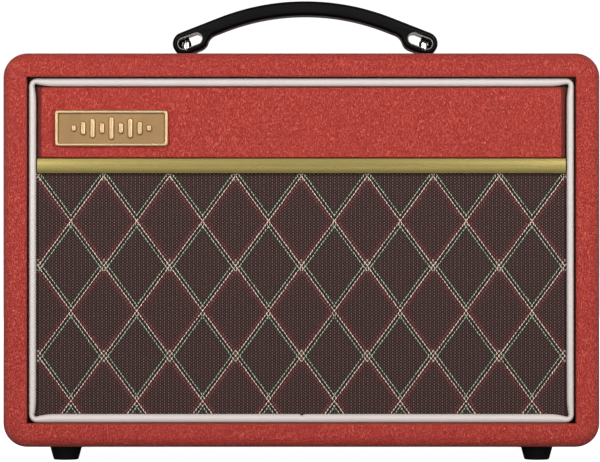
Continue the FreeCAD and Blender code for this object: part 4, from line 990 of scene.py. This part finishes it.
def beak(x):
    """A pointer knob's outline, pointing to the back, with its six corners rounded."""
    corners = np.array([(-3.2, -7.4), (3.2, -7.4), (4.3, 0), (1.0, 9.2), (-1.0, 9.2), (-4.3, 0)])
    out = []
    for i, p in enumerate(corners):
        reach = 0.8 if i in (3, 4) else 1.3
        start, end = (p + (q - p) / np.linalg.norm(q - p) * reach for q in (corners[i - 1], corners[(i + 1) % 6]))
        for t in np.linspace(0, 1, 5):
            q = (1 - t) ** 2 * start + 2 * t * (1 - t) * p + t * t * end
            out.append((x + q[0] * MM, CONTROLS_Y + q[1] * MM))
    return out


skirt = [(0.02, 2.6), (6.6, 2.6), (6.6, 0), (9.3, 0), (9.5, 0.2), (9.5, 1.1), (9.3, 1.6), (8.5, 2.75), (8.1, 3.05),
         (7.6, 3.2), (0.02, 3.2)]
for name, x in KNOBS.items():
    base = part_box(f"knob_{name}")[0][2]
    top = base + 14.5 * MM
    build = Build().turn(skirt, [(x, CONTROLS_Y, 0)], base=base, segments=64, cap=False)
    plate(build, "XY", beak(x), [], base + 3.0 * MM, top, 0, 1.0 * MM, steps=5)
    outwards(build.piece(f"dial_{name}", f"{name}_control", KNOB, "knob_black", replaces=[f"knob_{name}"], sharp=45))
    line = rounded_rect(0.35 * MM, 3.6 * MM, 0.3 * MM, 3, (x, CONTROLS_Y + 4.2 * MM))
    plate(Build(), "XY", line, [], top - 0.1 * MM, top).piece(f"pointer_{name}", f"{name}_control", INK,
                                                              "knob_black", smooth=False)

bezel = [(2.9, -9), (2.9, 0), (3.9, 0), (4.0, 0.15), (4.0, 0.75), (3.85, 0.95), (3.2, 1.05), (2.95, 0.95)]
Build().turn(bezel, [(LAMP_X, CONTROLS_Y, 0)], base=CONTROLS_TOP).piece(
    "lamp_bezel", "cabinet", CHROME, "chrome", replaces=["pilot_lamp"], sharp=40)
lens = [(2.9, 0.6)] + [(2.9 * math.cos(a), 1.0 + 2.7 * math.sin(a)) for a in np.linspace(0, math.pi / 2 - 0.01, 12)]
Build().turn(lens, [(LAMP_X, CONTROLS_Y, 0)], base=CONTROLS_TOP).piece(
    "lamp_dome", "cabinet", LAMP, "lamp_red", replaces=["pilot_lamp"])


# ---- carried-over CAD parts ----

INLET_X, INLET_Z = 110 * MM, 218 * MM


def paint(node, look, *zones, edges=0.0, segments=2):
    """A CAD part takes a finished material. A zone is a test on a face's middle, and its own material. Edges are
    bevelled by that width."""
    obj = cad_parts[node]
    mesh = obj.data
    mesh.materials.clear()
    for finish in (look, *(own for _, own in zones)):
        mesh.materials.append(finish)
    middles = [obj.matrix_world @ polygon.center for polygon in mesh.polygons]
    mesh.polygons.foreach_set("material_index", [
        next((k + 1 for k, (test, _) in enumerate(zones) if test(middle)), 0) for middle in middles])
    smooth_by_angle(obj, 28)
    if edges:
        bevel = obj.modifiers.new("edges", "BEVEL")
        bevel.width, bevel.segments = edges, segments
        bevel.limit_method = "ANGLE"
        bevel.angle_limit = math.radians(35)


def on_pin(p):
    return any(abs(p.x - INLET_X - x * MM) < 1.05 * MM and abs(p.z - INLET_Z - z * MM) < 2.05 * MM
               for x, z in ((-7, -2), (0, 2), (7, -2)))


for look, nodes in (
        (PLY, "left_side_board right_side_board top_board bottom_board"), (BATTEN, "cabinet_battens"),
        (BOARD, "baffle_board"), (SPRING, "handle_core"), (ZINC, "handle_nuts wood_screws speaker_bolts"),
        (CARD, "speaker_gasket"), (SURROUND, "speaker_surround"), (COPPER, "voice_coil"), (SPIDER, "spider"),
        (PLATED, "speaker_top_plate speaker_yoke potentiometers"), (FERRITE, "speaker_magnet"), (SHEET, "chassis"),
        (PCB, "circuit_board"), (ANODISED, "heatsink"), (MOULDED, "channel_switch_body"),
        (BASKET, "speaker_basket"), (CONE, "speaker_cone dust_cap"),
        (SHAFT, "shaft_gain shaft_volume shaft_treble shaft_bass")):
    for node in nodes.split():
        paint(node, look)
paint("jack_sockets", MOULDED, (lambda p: p.z > JACK_BODY_TOP, CHROME))
paint("panel_nuts", CHROME, edges=0.25 * MM)
paint("power_switch_body", MOULDED, edges=0.3 * MM)
paint("power_rocker", GLOSSY, edges=0.15 * MM)
paint("channel_button", MOULDED, edges=0.15 * MM)
paint("mains_inlet", MOULDED, (on_pin, BRASS), edges=0.25 * MM)
paint("speaker_leads", WIRE_BLACK, (lambda p: p.x < 0, WIRE_RED))
paint("speaker_terminals", TAG, (lambda p: abs(p.x) > 3.6 * MM, ZINC))
paint("transformer_core", LAMINATION, edges=0.3 * MM)
paint("transformer_coil", TAPE, edges=0.8 * MM, segments=3)
paint("capacitors", SLEEVE, edges=0.4 * MM, segments=3)


# ---- back, feet and fasteners ----

window = rounded_rect(29 * MM, 15 * MM, 1.2 * MM, 4, (INLET_X, INLET_Z))[::-1]
for node, name, holes in (("upper_back_panel", "upper_back_cover", [window]),
                          ("lower_back_panel", "lower_back_cover", [])):
    lo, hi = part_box(node)
    mid, half_w, half_h = middle_and_half(lo, hi)
    outwards(plate(Build(), "XZ", nested(half_w, half_h, 1.6 * MM, 4, mid), holes, lo[1], hi[1], 0.3 * MM, 1.5 * MM,
                   0.8 * MM, steps=4).piece(name, "cabinet", RED, "covering", replaces=[node], sharp=50))


def back_screw(build, x, z):
    """A domed screw facing the back, with a cross recess, and its shank."""
    low, high, radius = 82 * MM, 84 * MM, 4 * MM
    arm, wide = radius * 0.52, radius * 0.15
    cross = [(arm, -wide), (arm, wide), (wide, wide), (wide, arm), (-wide, arm), (-wide, wide), (-arm, wide),
             (-arm, -wide), (-wide, -wide), (-wide, -arm), (wide, -arm), (wide, -wide)]
    recess = [(x + a, z + b) for a, b in cross][::-1]
    plate(build, "XZ", circle(x, z, radius), [recess], low + 0.5 * MM, high, 0, (high - low) * 0.65, steps=5)
    plate(build, "XZ", circle(x, z, radius * 0.98), [], low, low + 0.6 * MM)
    build.add(*lathe([(1.75, 63), (1.75, 82.1)], (x, 0, z), axis="Y", segments=20))


SCREW_X, SCREW_HEIGHTS = 169 * MM, (206, 234, 36, 100)
build = Build()
for x in (-SCREW_X, SCREW_X):
    for z in SCREW_HEIGHTS:
        back_screw(build, x, z * MM)
outwards(build.piece("back_screws", "cabinet", SCREW_BLACK, "black_screw", replaces=["panel_screws"], sharp=35))

foot = [(1.75, 5), (4.0, 5), (4.2, 4.8), (4.2, 0.3), (4.4, 0), (7.6, 0), (7.95, 0.3), (8.2, 0.9), (10.25, 8.4),
        (10.4, 9), (1.75, 9), (1.75, 5)]
foot_x, foot_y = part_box("rubber_feet")[1][0] - foot[-3][0] * MM, 60 * MM
Build().turn(foot, [(x, y, 0) for x in (-foot_x, foot_x) for y in (-foot_y, foot_y)], segments=64, cap=False).piece(
    "feet", "cabinet", RUBBER, "black_rubber", replaces=["rubber_feet"], sharp=40)


# ---- stage, lights and camera ----

def floor(name, reach, level, near, far, glow=None):
    """A plain floor, whose shade runs from near, close to the object, to far. The one with a glow is what is seen.
    The other is what bounces light on the object. Where it is darker near the object, that is painted shade, which
    cuts the light bounced onto the object's underside.
    """
    obj = plain(name, [(x, y, level) for x in (-reach, reach) for y in (-reach, reach)], [(0, 2, 3, 1)])
    s = Shader(name, Roughness=0.9, Specular_IOR_Level=0.05)
    away = s.node("ShaderNodeMapRange", {"Value": s.size(s.xyz()[1]), "From Min": 0.15, "From Max": 0.45}).outputs[0]
    grain = s.mix(s.noise(2.0, 2), srgb(255, 255, 255), srgb(250, 250, 250))
    pale = s.mix(away, srgb(near, near, near), srgb(far, far, far))
    s.set("Base Color", s.mix(1.0, pale, grain, "MULTIPLY"))
    if glow:
        s.set("Emission Color", (1, 1, 1, 1))
        s.set("Emission Strength", glow)
        obj.visible_diffuse = obj.visible_glossy = False
    else:
        obj.visible_camera = obj.visible_shadow = False
    obj.data.materials.append(s.material)


floor("floor_seen", 12.0, -0.3 * MM, 205, 205, glow=0.93)
# Painted shade: the bounce floor is darker close to the object than further out.
floor("floor_bounce", 1.8, 0.0, 145, 225)


def area_light(name, where, size, power):
    """A soft box that faces the middle of the object."""
    data = bpy.data.lights.new(name, "AREA")
    data.shape = "RECTANGLE"
    data.size, data.size_y = size
    data.energy = power
    obj = linked(name, data)
    obj.location = where
    obj.rotation_euler = (Vector((0, 0, 0.13)) - Vector(where)).to_track_quat("-Z", "Y").to_euler()


area_light("soft_left", (-1.0, -2.0, 0.75), (0.7, 1.3), 35.5)
area_light("soft_right", (1.0, -2.0, 0.75), (0.7, 1.3), 37)
area_light("top_front", (0.0, -1.5, 1.25), (1.4, 0.4), 0.8)
area_light("rear", (0.0, 3.2, 0.8), (2.4, 0.8), 30)

scene = bpy.context.scene
world = bpy.data.worlds.new("studio") if scene.world is None else scene.world
scene.world = world
world.use_nodes = True
tree = world.node_tree
sky = tree.nodes["Background"]
sky.inputs["Color"].default_value = (1, 1, 1, 1)
# The backdrop is white all round, and gives the object only a dim, even light.
glow = tree.nodes.new("ShaderNodeMapRange")
tree.links.new(tree.nodes.new("ShaderNodeLightPath").outputs["Is Camera Ray"], glow.inputs["Value"])
glow.inputs["To Min"].default_value = 0.28
glow.inputs["To Max"].default_value = 1.05
tree.links.new(glow.outputs[0], sky.inputs["Strength"])
scene.view_settings.view_transform = "Standard"

camera_data = bpy.data.cameras.new("camera")
camera_data.lens = 188.9
camera_data.sensor_width = 36
camera_data.clip_end = 20
camera = linked("camera", camera_data)
camera.location = (-0.0009, -2.085, 0.1467)
camera.rotation_euler = (math.radians(90), 0, 0)
scene.camera = camera
